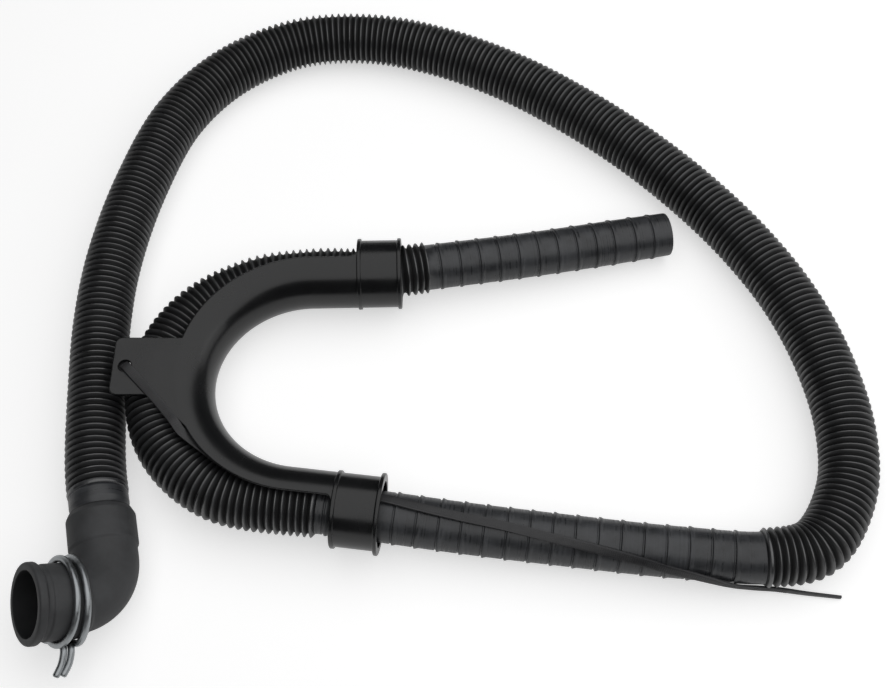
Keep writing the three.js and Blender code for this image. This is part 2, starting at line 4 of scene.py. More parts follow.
import bmesh
import bpy
import numpy as np
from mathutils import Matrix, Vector


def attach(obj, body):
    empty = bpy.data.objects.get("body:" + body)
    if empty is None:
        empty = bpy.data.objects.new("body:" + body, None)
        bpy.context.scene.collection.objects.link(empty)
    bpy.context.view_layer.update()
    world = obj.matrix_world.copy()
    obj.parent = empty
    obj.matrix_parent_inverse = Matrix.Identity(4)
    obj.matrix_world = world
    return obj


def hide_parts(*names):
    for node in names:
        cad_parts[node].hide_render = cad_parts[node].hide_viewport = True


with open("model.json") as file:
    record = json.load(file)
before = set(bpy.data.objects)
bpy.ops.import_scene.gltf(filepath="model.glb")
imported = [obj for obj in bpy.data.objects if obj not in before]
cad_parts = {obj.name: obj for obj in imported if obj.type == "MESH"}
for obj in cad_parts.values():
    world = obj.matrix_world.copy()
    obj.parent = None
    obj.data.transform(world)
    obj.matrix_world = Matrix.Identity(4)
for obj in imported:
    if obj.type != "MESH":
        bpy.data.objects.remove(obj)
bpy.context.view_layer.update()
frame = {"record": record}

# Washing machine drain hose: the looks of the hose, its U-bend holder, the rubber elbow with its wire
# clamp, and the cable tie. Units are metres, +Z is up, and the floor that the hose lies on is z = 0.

UP = np.array([0.0, 0.0, 1.0])
SQUARE = ((1, 1), (-1, 1), (-1, -1), (1, -1))

# Clearance between pieces that touch
FIT = 0.0003

# Points closer than this are one
SAME_PLACE = 1e-6

# Hose
CREST_RADIUS = 0.016
GROOVE_DEPTH = 0.0023
CREST_PITCH = 0.00374
# Shares of a pitch: the stations of one crest, the half width of its flat top, where the groove's floor
# starts, and the groove's middle
CREST_PHASES = (0.0, 0.11, 0.25, 0.5, 0.75, 0.89)
CREST_HALF_WIDTH = 0.03
GROOVE_HALF_START = 0.34
MID_GROOVE = 0.5
HOSE_BORE_RADIUS = 0.013
GRIP_CREST_RADIUS = 0.0154
EXIT_CREST_RADIUS = 0.0149
EXIT_BORE_RADIUS = 0.0119
EXIT_CREST_LENGTH = 0.014
EXIT_TAPER_LENGTH = 0.036
INLET_CUFF_RADIUS = 0.0152
INLET_CUFF_BORE = 0.0135
INLET_CUFF_LENGTH = 0.0345
INLET_CUFF_INSERTED = 0.022
INLET_NECK_RADIUS = 0.0146
INLET_NECK_END = 0.0012
INLET_NECK_RISE = 0.0024
GRIP_RADIUS = 0.0134
GRIP_BORE = 0.0119
GRIP_START_SHIFT = 0.0063
GRIP_PLAIN_END = 0.0122
GRIP_OVERRUN = 0.0065
GRIP_RIB_PITCH = 0.0117
OUTLET_RADIUS = 0.013
OUTLET_MOUTH_RADIUS = 0.0126
OUTLET_WALL = 0.0016
OUTLET_RIB_PITCH = 0.01145
OUTLET_PLAIN_END = 0.0086
OUTLET_MOUTH_LENGTH = 0.035
OUTLET_MOUTH_RIBS = (0.0002, 0.013, 0.0241)
RIB_HEIGHT = 0.0006
RIB_WIDTH = 0.0024
BLEND_LENGTH = 0.004
BLEND_INSET = 0.0008
EXIT_LEAN = 0.0016
EXIT_RISE = 0.0002
HOSE_SIDES = 32
GRIP_STEP = 0.006
OUTLET_STEP = 0.009

# U-bend holder
BEND_CENTRE = (-0.082, -0.0555)
BEND_RADIUS = 0.071
BEND_TURN = -2.9
LEG_SPLAY = 4.1
CHANNEL_BORE = 0.0173
CHANNEL_WALL = 0.002
CHANNEL_LIP = 0.0003
WINDOW_CORNER = 0.0042
LEG_LENGTH = 0.0255
COLLAR_LENGTH = 0.025
FLANGE_RADIUS = 0.0215
RIM_RADIUS = 0.0204
FLANGE_THICKNESS = 0.0022
HOLDER_SIDES = 72
BEND_STEPS = 121
CHANNEL_POINTS = 41
CHANNEL_CAP_POINTS = 7
HOLDER_SHARP_ANGLE = 38
TAB_THICKNESS = 0.0025
TAB_REACH = 0.104
TAB_TOP = 0.0184
TAB_BOTTOM = -0.0165
TAB_CORNER = 0.004
TAB_SHOULDER = 0.081
TAB_HEEL = -0.035
TAB_HOLE_RADIUS = 0.0035
TAB_HOLE_REACH = 0.0975
TAB_EDGE = 0.0005
TAB_OVERLAP = 0.0013
TAB_DROP = 0.000013
TAB_CORNER_POINTS = 9
TAB_HOLE_POINTS = 33

# Bow of the hose out of the open side of the half-pipe
HOSE_BOW = 0.014
HOSE_BOW_ANGLE = 186
HOSE_BOW_SPREAD = 96

# Elbow
ELBOW_CORNER = (-0.1772, -0.1753)
SOCKET_HEADING = 103
MOUTH_HEADING = 199.5
MOUTH_RISE = 34
ELBOW_BEND_RADIUS = 0.0215
ELBOW_RADIUS = 0.0169
ELBOW_BORE = 0.0142
ELBOW_SIDES = 72
SOCKET_REACH = 0.0463
SOCKET_LENGTH = 0.0194
SOCKET_STEP = 0.0014
SOCKET_RADIUS = 0.0178
SOCKET_CHAMFER = 0.0035
MOUTH_REACH = 0.0432
MOUTH_BORE = 0.0163
MOUTH_BORE_DEPTH = 0.020
BEAD_RADIUS = 0.0203
BEAD_LENGTH = 0.0043
NECK_RADIUS = 0.0181
NECK_LENGTH = 0.0032
SEAT_RADIUS = 0.0189
SEAT_LENGTH = 0.0177
SEAT_BLEND = 0.0008
ELBOW_STEP = 0.0012
ELBOW_BEND_POINTS = 25
ELBOW_STRAIGHT_POINTS = 12

# Wire clamp
WIRE_RADIUS = 0.00175
WIRE_SIDES = 16
WIRE_STATIONS = 420
WIRE_TIP_SHARE = 0.35
CLAMP_SETBACK = 0.0204
# Angle round the elbow and the spacing of the two loops there
CLAMP_SPACING = ((0, 0.0039), (40, 0.0039), (160, 0.0056), (250, 0.005), (300, 0.006),
                 (355, 0.0097), (400, 0.0097))
CLAMP_END_ANGLE = 27
CLAMP_TANG = 0.012
CLAMP_TANG_LEAN = 0.0042
CLAMP_TIP_SHARE = 0.92
CLAMP_BEND = 0.003
CLAMP_BRIDGE = 0.003
CLAMP_BRIDGE_NARROWING = 0.9
CLAMP_BRIDGE_ROUNDNESS = 0.7
CLAMP_POINT_STEP = 20
CLAMP_SPAN_POINTS = 12

# Cable tie
TIE_WIDTH = 0.0048
TIE_THICKNESS = 0.0013
TIE_HEAD = (0.0066, 0.0072, 0.0039)
TIE_HEAD_OFFSET = -0.0024
TIE_HEAD_EDGE = 0.0007
TIE_EDGE = 0.0003
TIE_TAPER = 0.04
TIE_TIP_SHARE = 0.5
TIE_TOOTH_PITCH = 0.0011
TIE_TOOTH_HEIGHT = 0.0002
TIE_TOOTH_SHARE = 0.5
TIE_TEETH_WIDTH_SHARE = 0.66
TIE_SMOOTH_START = 0.008
TIE_SMOOTH_TAIL = 0.028
TIE_SPAN_POINTS = 14
TIE_SHARP_ANGLE = 40
STRAP_HEADING = -47
# Inside the hole: distance from its middle, and heights over its lower edge
TIE_BACKSET = -0.001
TIE_RISERS = (-0.0035, 0.001)
# Over the tab: distance from the hole's middle, and height over the strap's own
TIE_OVER_TAB = ((0.0, -0.0004), (0.0024, 0.0004), (0.012, 0.0), (0.026, 0.0))
# On the half-pipe: angle round the bend, radius, height over the hose there, and lean
TIE_BEND = (
    (201.2, 0.0767, 0.0043, 0.0), (206.9, 0.0747, 0.0043, 0.0), (210.3, 0.0739, 0.0021, 0.0),
    (214.5, 0.0719, 0.00015, 0.1), (222, 0.0695, -0.0002, 0.15), (236, 0.068, -0.0006, 0.2),
    (255, 0.0678, -0.0006, 0.2),
)
# In the leg: distance, offset and height over the hose
TIE_LEG = ((0.007, -0.003, -0.0002), (0.027, -0.0045, -0.0026))
# On the ribbed stretch: distance from the collar and angle from the top
TIE_LAY = (
    (0.0, -16), (0.0184, -8), (0.0394, 0), (0.0634, 8), (0.0874, 20), (0.1114, 32),
    (0.1334, 46), (0.1464, 58), (0.1594, 68), (0.1714, 80), (0.1814, 96),
)
# Past the ribbed stretch: the tail's points, and where its upper face looks
TIE_TAIL = (
    (0.1505, -0.1672, 0.0088), (0.163, -0.1668, 0.0052), (0.178, -0.168, 0.0027), (0.1965, -0.1698, 0.0016),
)
TIE_TAIL_FACING = np.array([0.0, -1.0, 0.0])

# Worked-out heights
HOLDER_HEIGHT = FLANGE_RADIUS
CHANNEL_RADIUS = CHANNEL_BORE + CHANNEL_WALL
BOWED_HEIGHT = HOLDER_HEIGHT - CHANNEL_BORE + CREST_RADIUS + FIT
GRIPPED_HEIGHT = HOLDER_HEIGHT - CHANNEL_BORE + GRIP_RADIUS + RIB_HEIGHT + FIT
OUTLET_HEIGHT = OUTLET_RADIUS + RIB_HEIGHT
TAB_TOP_HEIGHT = HOLDER_HEIGHT + CHANNEL_RADIUS


# Lines in space

def unit(vectors):
    vectors = np.asarray(vectors, float)
    return vectors / np.linalg.norm(vectors, axis=-1, keepdims=True)


def heading(degrees):
    turn = math.radians(degrees)
    return np.array([math.cos(turn), math.sin(turn), 0.0])


def at_height(point, height):
    return np.array([point[0], point[1], height])


def columns_at(places, known, values):
    """The rows of values, worked out at places between the known ones."""
    return np.stack([np.interp(places, known, column) for column in values.T], axis=-1)


def smooth_line(points, per_span):
    """Points of a smooth curve through the given ones, the same number in each span."""
    points = np.asarray(points, float)
    ends = 2 * points[0] - points[1], 2 * points[-1] - points[-2]
    padded = np.vstack([ends[:1], points, ends[1:]])
    share = np.linspace(0, 1, per_span, endpoint=False)[:, None]
    pieces = []
    for before, start, end, after in zip(padded, padded[1:], padded[2:], padded[3:]):
        gap_before, gap, gap_after = (
            math.sqrt(np.linalg.norm(b - a)) for a, b in ((before, start), (start, end), (end, after))
        )
        leave = (start - before) / gap_before - (end - before) / (gap_before + gap) + (end - start) / gap
        arrive = (end - start) / gap - (after - start) / (gap + gap_after) + (after - end) / gap_after
        pieces.append(
            (2 * share**3 - 3 * share**2 + 1) * start
            + (share**3 - 2 * share**2 + share) * leave * gap
            + (3 * share**2 - 2 * share**3) * end
            + (share**3 - share**2) * arrive * gap
        )
    return np.vstack([*pieces, points[-1:]])


class Route:
    """A line of points with its length and the directions across it."""

    def __init__(self, points, reference=None):
        self.points = np.asarray(points, float)
        gaps = np.linalg.norm(np.diff(self.points, axis=0), axis=1)
        self.reach = np.concatenate([[0.0], np.cumsum(gaps)])
        self.length = self.reach[-1]
        self.tangents = unit(np.gradient(self.points, self.reach, axis=0))
        self.rises = self.carried() if reference is None else self.levelled(reference)

    def levelled(self, reference):
        sides = unit(np.cross(reference, self.tangents))
        return np.cross(self.tangents, sides)

    def carried(self):
        """Rises carried along the line without a twist."""
        start = self.tangents[0]
        rise = unit(np.cross(start, np.roll(np.abs(start), 1) + 0.1))
        rises = []
        for tangent in self.tangents:
            rise = unit(rise - np.dot(rise, tangent) * tangent)
            rises.append(rise)
        return np.array(rises)

    def at(self, distances):
        """Points, tangents, sides and rises along the line."""
        point, tangent, rise = (
            columns_at(distances, self.reach, values) for values in (self.points, self.tangents, self.rises)
        )
        tangent = unit(tangent)
        rise = unit(rise - np.sum(rise * tangent, axis=-1, keepdims=True) * tangent)
        return point, tangent, np.cross(rise, tangent), rise


# Outlines

CORNER_PARTS = 3


def rounded(corners, parts=CORNER_PARTS):
    """Closed outline whose corners, each (x, y, radius), are rounded."""
    outline = []
    for i, (x, y, radius) in enumerate(corners):
        here = np.array([x, y])
        back = np.array(corners[i - 1][:2]) - here
        ahead = np.array(corners[(i + 1) % len(corners)][:2]) - here
        back_length, ahead_length = np.linalg.norm(back), np.linalg.norm(ahead)
        cosine = np.dot(back, ahead) / (back_length * ahead_length)
        half = math.acos(float(np.clip(cosine, -1, 1))) / 2
        reach = min(radius / math.tan(half), 0.4 * back_length, 0.4 * ahead_length)
        if reach < SAME_PLACE:
            outline.append(here)
            continue
        start = here + back / back_length * reach
        end = here + ahead / ahead_length * reach
        for share in np.linspace(0, 1, parts + 1):
            outline.append((1 - share) ** 2 * start + 2 * share * (1 - share) * here + share**2 * end)
    return outline


def cut_long(outline, step):
    """The closed outline with its long edges cut into steps along y."""
    result = []
    for here, ahead in zip(outline, [*outline[1:], outline[0]]):
        cuts = max(1, math.ceil(abs(ahead[1] - here[1]) / step))
        result.extend(here + (ahead - here) * k / cuts for k in range(cuts))
    return result


def open_cut(outline, step):
    """An open outline with its long edges cut into steps along y."""
    closing_cuts = max(1, math.ceil(abs(outline[0][1] - outline[-1][1]) / step))
    return [*cut_long(outline, step)[:-closing_cuts], outline[-1]]


# Objects

def linked(name, data):
    """A new object with the given data, in the scene."""
    made = bpy.data.objects.new(name, data)
    bpy.context.scene.collection.objects.link(made)
    return made


def worked_out(piece):
    """The mesh that an object's modifiers or curves come to."""
    depsgraph = bpy.context.evaluated_depsgraph_get()
    return bpy.data.meshes.new_from_object(piece.evaluated_get(depsgraph), depsgraph=depsgraph)


# Node trees

class Graph:
    """A node tree under construction. Each add makes a node and links or sets its inputs."""

    def __init__(self, tree):
        self.tree = tree

    def add(self, kind, inputs=None, output=0, **settings):
        node = self.tree.nodes.new(kind)
        for key, value in settings.items():
            setattr(node, key, value)
        self.feed(node, inputs or {})
        return self.live(node.outputs, output) if len(node.outputs) else node

    def feed(self, node, inputs):
        for key, value in inputs.items():
            socket = self.live(node.inputs, key)
            if isinstance(value, bpy.types.NodeSocket):
                self.tree.links.new(value, socket)
            else:
                socket.default_value = value

    @staticmethod
    def live(sockets, key):
        shown = [socket for socket in sockets if socket.enabled]
        return shown[key] if isinstance(key, int) else next(s for s in shown if s.name == key)

    def math(self, operation, *values):
        return self.add("ShaderNodeMath", dict(enumerate(values)), operation=operation)

    def finish(self, shape, material):
        """Ends a geometry tree with real faces that carry the material."""
        shape = self.add("GeometryNodeRealizeInstances", {"Geometry": shape})
        shape = self.add("GeometryNodeSetMaterial", {"Geometry": shape, "Material": material})
        self.add("NodeGroupOutput", {"Geometry": shape})


def geometry_tree(name, inputs):
    tree = bpy.data.node_groups.new(name, "GeometryNodeTree")
    tree.interface.new_socket("Geometry", in_out="INPUT", socket_type="NodeSocketGeometry")
    for label, kind in inputs:
        tree.interface.new_socket(label, in_out="INPUT", socket_type=kind)
    tree.interface.new_socket("Geometry", in_out="OUTPUT", socket_type="NodeSocketGeometry")
    return tree


def grown(name, mesh, tree, values):
    """A plain mesh object: what a geometry tree makes of a mesh with the given input values."""
    seed = linked(name + "_line", mesh)
    modifier = seed.modifiers.new("grow", "NODES")
    modifier.node_group = tree
    for item in tree.interface.items_tree:
        if item.in_out == "INPUT" and item.name in values:
            modifier[item.identifier] = values[item.name]
    made = worked_out(seed)
    bpy.data.objects.remove(seed)
    made.name = name
    return linked(name, made)


def wall_tree():
    """Turns a line of stations into a closed wall round the line, with crests and grooves."""
    tree = geometry_tree("turned_wall", [
        ("Sides", "NodeSocketInt"),
        ("Groove Depth", "NodeSocketFloat"),
        ("Material", "NodeSocketMaterial"),
    ])
    g = Graph(tree)
    source = tree.nodes.new("NodeGroupInput").outputs
    line = source["Geometry"]
    stations = g.add("GeometryNodeAttributeDomainSize", {"Geometry": line}, "Point Count", component="MESH")
    columns = g.add("FunctionNodeIntegerMath", {0: source["Sides"], 1: 1}, operation="ADD")
    grid = g.add(
        "GeometryNodeMeshGrid",
        {"Size X": 1.0, "Size Y": 1.0, "Vertices X": stations, "Vertices Y": columns},
        "Mesh",
    )
    index = g.add("GeometryNodeInputIndex")
    row = g.add("FunctionNodeIntegerMath", {0: index, 1: columns}, operation="DIVIDE_FLOOR")
    column = g.add("FunctionNodeIntegerMath", {0: index, 1: columns}, operation="MODULO")

    def sampled(value, kind):
        inputs = {"Geometry": line, "Value": value, "Index": row}
        return g.add("GeometryNodeSampleIndex", inputs, data_type=kind, domain="POINT")

    def stored(name, kind="FLOAT"):
        value = g.add("GeometryNodeInputNamedAttribute", {"Name": name}, "Attribute", data_type=kind)
        return sampled(value, kind)

    def scaled(vector, factor):
        return g.add("ShaderNodeVectorMath", {0: vector, "Scale": factor}, operation="SCALE")

    turn = g.math("MULTIPLY", g.math("DIVIDE", column, source["Sides"]), 2 * math.pi)
    upward = scaled(stored("rise", "FLOAT_VECTOR"), g.math("COSINE", turn))
    sideways = scaled(stored("side", "FLOAT_VECTOR"), g.math("SINE", turn))
    outward = g.add("ShaderNodeVectorMath", {0: upward, 1: sideways}, operation="ADD")
    from_crest = g.math("PINGPONG", stored("crests_before"), MID_GROOVE)
    dip = g.add(
        "ShaderNodeMapRange",
        {"Value": from_crest, "From Min": CREST_HALF_WIDTH, "From Max": GROOVE_HALF_START},
        interpolation_type="SMOOTHSTEP",
    )
    groove_share = stored("groove_share")
    groove = g.math("MULTIPLY", dip, groove_share)
    depth = g.math("MULTIPLY", groove, source["Groove Depth"])
    radius = g.math("SUBTRACT", stored("wall_radius"), depth)
    centre = sampled(g.add("GeometryNodeInputPosition"), "FLOAT_VECTOR")
    place = g.add("ShaderNodeVectorMath", {0: centre, 1: scaled(outward, radius)}, operation="ADD")
    shape = grid
    for label, value in (("groove", groove), ("corrugated", groove_share), ("along", stored("along"))):
        shape = g.add("GeometryNodeStoreNamedAttribute", {"Geometry": shape, "Name": label, "Value": value},
                      data_type="FLOAT", domain="POINT")
    shape = g.add("GeometryNodeSetPosition", {"Geometry": shape, "Position": place})
    shape = g.add("GeometryNodeMergeByDistance", {"Geometry": shape, "Distance": SAME_PLACE})
    shape = g.add("GeometryNodeSetShadeSmooth", {"Geometry": shape})
    g.finish(shape, source["Material"])
    return tree


WALL_TREE = wall_tree()


def line_mesh(name, points, **attributes):
    """Mesh of points in a row, with named values on them."""
    mesh = bpy.data.meshes.new(name)
    mesh.from_pydata([tuple(p) for p in points], [(i, i + 1) for i in range(len(points) - 1)], [])
    for key, values in attributes.items():
        kind, field = ("FLOAT_VECTOR", "vector") if values.ndim == 2 else ("FLOAT", "value")
        data = mesh.attributes.new(key, kind, "POINT").data
        data.foreach_set(field, values.astype(np.float32).ravel())
    return mesh


def turned_wall(name, stations, route, sides, material, groove_depth=0.0):
    """A closed wall round a route, from stations: radius, distance, groove share and crests before."""
    table = np.array([*stations, stations[0]])
    points, _, side, rise = route.at(table[:, 1])
    mesh = line_mesh(
        name, points, side=side, rise=rise, wall_radius=table[:, 0],
        groove_share=table[:, 2], crests_before=table[:, 3], along=table[:, 1],
    )
    values = {"Sides": sides, "Groove Depth": groove_depth, "Material": material}
    return grown(name, mesh, WALL_TREE, values)


def plain(outline):
    """Stations of a wall without grooves."""
    return [(radius, distance, 0.0, MID_GROOVE) for radius, distance in outline]


# Materials

NOISE_ROUGHNESS = 0.6


def new_material(name, constants):
    """A material with constants set on its shader."""
    material = bpy.data.materials.new(name)
    material.use_nodes = True
    g = Graph(material.node_tree)
    shader = material.node_tree.nodes["Principled BSDF"]
    g.feed(shader, constants)
    return material, g, shader


def surface(name, slot, roughness, metallic=0.0):
    """A material with its shader set to the record's colour for a slot."""
    colour = next(m["base_color"] for m in frame["record"]["materials"] if m["slot"] == slot)
    constants = {"Base Color": (*colour, 1), "Roughness": roughness, "Metallic": metallic}
    return *new_material(name, constants), colour


def noise(g, scale, detail):
    place = g.add("ShaderNodeTexCoord", output="Object")
    inputs = {"Vector": place, "Scale": scale, "Detail": detail, "Roughness": NOISE_ROUGHNESS}
    return g.add("ShaderNodeTexNoise", inputs)


def marked(g, name):
    """A value that the mesh carries."""
    return g.add("ShaderNodeAttribute", {}, "Fac", attribute_name=name)


def spread(g, value, low, high, start=0.35, end=0.65):
    """A value's usual span, or another one, stretched from low to high."""
    inputs = {"Value": value, "From Min": start, "From Max": end, "To Min": low, "To Max": high}
    return g.add("ShaderNodeMapRange", inputs)


def tinted(g, shader, colour, factor, dark, light):
    """Base colour between two multiples of the record's colour."""
    ends = [(*(part * share for part in colour), 1) for share in (dark, light)]
    mix = g.add("ShaderNodeMix", {"Factor": factor, "A": ends[0], "B": ends[1]}, "Result", data_type="RGBA")
    g.feed(shader, {"Base Color": mix})


def grained(g, shader, height, strength, distance):
    bump = g.add("ShaderNodeBump", {"Height": height, "Strength": strength, "Distance": distance})
    g.feed(shader, {"Normal": bump})


def mottled(g, shader, colour, cloud, tints, roughness):
    """Base colour and roughness that follow one noise."""
    tinted(g, shader, colour, cloud, *tints)
    g.feed(shader, {"Roughness": spread(g, cloud, *roughness)})


def hose_plastic():
    """Satin blow-moulded plastic with painted shade in the grooves, lighter on the crests partly as wear and
    partly as painted highlight, and with faint rings round it.
    """
    material, g, shader, colour = surface("hose_plastic", "hose", 0.4)
    groove = marked(g, "groove")
    corrugated_share = marked(g, "corrugated")
    handled = noise(g, scale=90.0, detail=4.0)
    ring_inputs = {"W": marked(g, "along"), "Scale": 800.0, "Detail": 3.0}
    rings = g.add("ShaderNodeTexNoise", ring_inputs, noise_dimensions="1D")
    # Painted shade and highlight: the base colour is darkened in the grooves as painted shade, and the
    # crests are lighter, partly as wear and partly as painted highlight.
    crest_wear_and_groove_shade = g.math("MULTIPLY", g.math("SUBTRACT", 1.0, groove), handled)
    lit = g.math("MULTIPLY", crest_wear_and_groove_shade, g.math("MULTIPLY_ADD", corrugated_share, -0.5, 1.0))
    tinted(g, shader, colour, g.math("MULTIPLY", lit, g.math("ADD", rings, 0.6)), dark=0.1, light=3.0)
    dull = g.math("ADD", spread(g, handled, -0.05, 0.05), spread(g, rings, 0.28, 0.48))
    g.feed(shader, {"Roughness": g.math("MULTIPLY_ADD", groove, 0.4, dull)})
    gloss = g.math("MULTIPLY_ADD", corrugated_share, 1.1, 0.5)
    # Painted shade: the specular level is cut down in the grooves.
    unshaded_share = g.math("MULTIPLY_ADD", groove, -0.9, 1.0)
    g.feed(shader, {"Specular IOR Level": g.math("MULTIPLY", gloss, unshaded_share)})
    grained(g, shader, noise(g, scale=2600.0, detail=2.0), strength=0.35, distance=0.00004)
    return material


def holder_plastic():
    """Injection-moulded plastic with a low gloss and a faint flow mottle."""
    material, g, shader, colour = surface("holder_plastic", "holder", 0.3)
    mottled(g, shader, colour, noise(g, scale=45.0, detail=4.0), tints=(0.45, 0.8), roughness=(0.21, 0.28))
    grained(g, shader, noise(g, scale=1500.0, detail=3.0), strength=0.25, distance=0.00004)
    return material


def elbow_rubber():
    """Matt moulded rubber with a fine bloom, darker on the inside as painted shade."""
    material, g, shader, colour = surface("elbow_rubber", "elbow", 0.62)
    bloom = noise(g, scale=70.0, detail=5.0)
    # Painted shade: the inside of the bore gets a darker base colour and a lower specular level.
    unshaded_share = g.math("MULTIPLY_ADD", marked(g, "groove"), -0.75, 1.0)
    tinted(g, shader, colour, g.math("MULTIPLY", bloom, unshaded_share), dark=0.3, light=2.0)
    g.feed(shader, {"Roughness": spread(g, bloom, 0.56, 0.7)})
    g.feed(shader, {"Specular IOR Level": g.math("MULTIPLY", unshaded_share, 0.5)})
    grained(g, shader, noise(g, scale=3200.0, detail=3.0), strength=0.5, distance=0.00005)
    return material


def zinc_wire():
    """Zinc plated spring wire with faint drawing marks."""
    material, g, shader, colour = surface("zinc_wire", "clamp", 0.3, 1.0)
    mottled(g, shader, colour, noise(g, scale=420.0, detail=4.0), tints=(0.38, 0.72), roughness=(0.3, 0.46))
    grained(g, shader, noise(g, scale=900.0, detail=2.0), strength=0.12, distance=0.00003)
    return material


def tie_nylon():
    """Dark nylon with a soft sheen."""
    material, g, shader, colour = surface("tie_nylon", "tie", 0.42)
    mottled(g, shader, colour, noise(g, scale=300.0, detail=3.0), tints=(1.6, 2.6), roughness=(0.36, 0.5))
    grained(g, shader, noise(g, scale=2400.0, detail=2.0), strength=0.25, distance=0.00003)
    return material


# Camera, which looks down at 60 degrees

CAMERA_PLACE = (-0.007, -0.3922, 0.6485)
CAMERA_TILT = 30
CAMERA_LENS = 52.35
CAMERA_SENSOR = 36.0
CAMERA_CLIP = 0.01


def camera():
    data = bpy.data.cameras.new("camera")
    data.sensor_width = CAMERA_SENSOR
    data.lens = CAMERA_LENS
    data.clip_start = CAMERA_CLIP
    view = linked("camera", data)
    view.location = CAMERA_PLACE
    view.rotation_euler = (math.radians(CAMERA_TILT), 0, 0)
    bpy.context.scene.camera = view


# Layout of the elbow and the holder

elbow_corner = at_height(ELBOW_CORNER, SOCKET_RADIUS)
socket_axis = heading(SOCKET_HEADING)
mouth_axis = (
    heading(MOUTH_HEADING) * math.cos(math.radians(MOUTH_RISE))
    + UP * math.sin(math.radians(MOUTH_RISE))
)
elbow_under = unit(np.cross(mouth_axis, socket_axis))
elbow_inside = np.cross(elbow_under, mouth_axis)
elbow_turn = math.pi - math.acos(float(np.dot(mouth_axis, socket_axis)))
mouth_centre = elbow_corner + mouth_axis * MOUTH_REACH
socket_end = elbow_corner + socket_axis * SOCKET_REACH

holder_centre = at_height(BEND_CENTRE, HOLDER_HEIGHT)
upper_heading = BEND_TURN + LEG_SPLAY
lower_heading = BEND_TURN - LEG_SPLAY
collar_end = LEG_LENGTH + COLLAR_LENGTH


class Leg:
    """One leg of the holder, which starts at the bend."""

    def __init__(self, angle, outward_angle):
        self.along = heading(angle)
        self.outward = heading(outward_angle)
        self.outward_angle = outward_angle
        self.start = holder_centre + self.outward * BEND_RADIUS

    def point(self, distance, offset=0.0, height=HOLDER_HEIGHT):
        return at_height(self.start + self.along * distance + self.outward * offset, height)


upper_leg = Leg(upper_heading, upper_heading + 90)
lower_leg = Leg(lower_heading, lower_heading + 270)


# Route of the hose: the loose loop's points follow the photo, the rest follow the elbow and the holder

LOOP_START = (-0.194, -0.103, 0.0165)
LOOSE_LOOP = [
    (-0.1995, -0.055), (-0.2025, -0.012), (-0.201, 0.03), (-0.1915, 0.084), (-0.1735, 0.137),
    (-0.144, 0.1745), (-0.102, 0.198), (-0.055, 0.2015), (-0.0095, 0.19), (0.034, 0.169),
    (0.073, 0.142), (0.109, 0.111), (0.1405, 0.0775), (0.168, 0.041), (0.1895, 0.002),
    (0.203, -0.039), (0.2085, -0.081), (0.2035, -0.117), (0.184, -0.1475), (0.159, -0.1535),
]
GRIP_STRETCH = [(0.112, -0.150, 0.0142), (0.050, -0.1432, 0.0149), (0.0, -0.1373, 0.0163)]
OUTLET_STRETCH = [(-0.0198, 0.0209, 0.0208), (0.044, 0.0329, 0.0172), (0.123, 0.0495, OUTLET_HEIGHT)]
BOW_ANGLES = (234, 205, 176, 147, 118)
SPAN_POINTS = 80


def bowed_point(angle):
    phase = (angle - HOSE_BOW_ANGLE) / HOSE_BOW_SPREAD * math.pi / 2
    radius = BEND_RADIUS + HOSE_BOW * math.cos(phase) ** 2
    return at_height(holder_centre + heading(angle) * radius, BOWED_HEIGHT)


grip_start_index = len(LOOSE_LOOP) + 2
grip_end_index = grip_start_index + len(GRIP_STRETCH) + 2
outlet_index = grip_end_index + len(BOW_ANGLES) + 4
hose_route = Route(
    smooth_line([
        socket_end - socket_axis * INLET_CUFF_INSERTED,
        socket_end,
        LOOP_START,
        *[at_height(point, CREST_RADIUS) for point in LOOSE_LOOP],
        *GRIP_STRETCH,
        lower_leg.point(collar_end, 0.0, GRIPPED_HEIGHT),
        lower_leg.point(LEG_LENGTH - GRIP_OVERRUN, 0.0, BOWED_HEIGHT),
        *[bowed_point(angle) for angle in BOW_ANGLES],
        upper_leg.point(0.0, 0.0, BOWED_HEIGHT),
        upper_leg.point(LEG_LENGTH, 0.0, BOWED_HEIGHT),
        upper_leg.point(collar_end, EXIT_LEAN, HOLDER_HEIGHT + EXIT_RISE),
        *OUTLET_STRETCH,
    ], SPAN_POINTS),
    UP,
)


def length_to(index):
    """Distance along the hose to one of the route's given points."""
    return hose_route.reach[index * SPAN_POINTS]


# Hose

def crest_radius(distance):
    """Radius over the crests, which shrinks towards the ribbed stretch and the outlet cuff."""
    grip_start = length_to(grip_start_index)
    taper_end = length_to(outlet_index) - EXIT_CREST_LENGTH
    known = (
        (grip_start - EXIT_TAPER_LENGTH, CREST_RADIUS),
        (grip_start, GRIP_CREST_RADIUS),
        (length_to(grip_end_index), CREST_RADIUS),
        (taper_end - EXIT_TAPER_LENGTH, CREST_RADIUS),
        (taper_end, EXIT_CREST_RADIUS),
    )
    return float(np.interp(distance, *zip(*known)))


def corrugated(start, end):
    """Stations of a run of whole crests between two distances."""
    count = round((end - start) / CREST_PITCH)
    stations = []
    for turn in [*(whole + phase for whole in range(count) for phase in CREST_PHASES), count]:
        at = start + (end - start) * turn / count
        stations.append((crest_radius(at), at, 1.0, turn))
    return stations


# One ring: place in rib widths, rise in rib heights, and how far the corner is rounded
RIB_OUTLINE = (
    (-0.8, 0.0, 0.001), (-0.15, 1.0, 0.0006), (0.15, 1.0, 0.0002),
    (0.3, -0.7, 0.0001), (0.55, -0.7, 0.0002), (0.7, 0.0, 0.0002),
)


def rib(at, radius, hand):
    """Corners of one low ring round the wall, with a narrow groove on the side that hand gives."""
    corners = [
        (radius + RIB_HEIGHT * rise, at + hand * RIB_WIDTH * place, rounding)
        for place, rise, rounding in RIB_OUTLINE
    ]
    return corners[::hand]


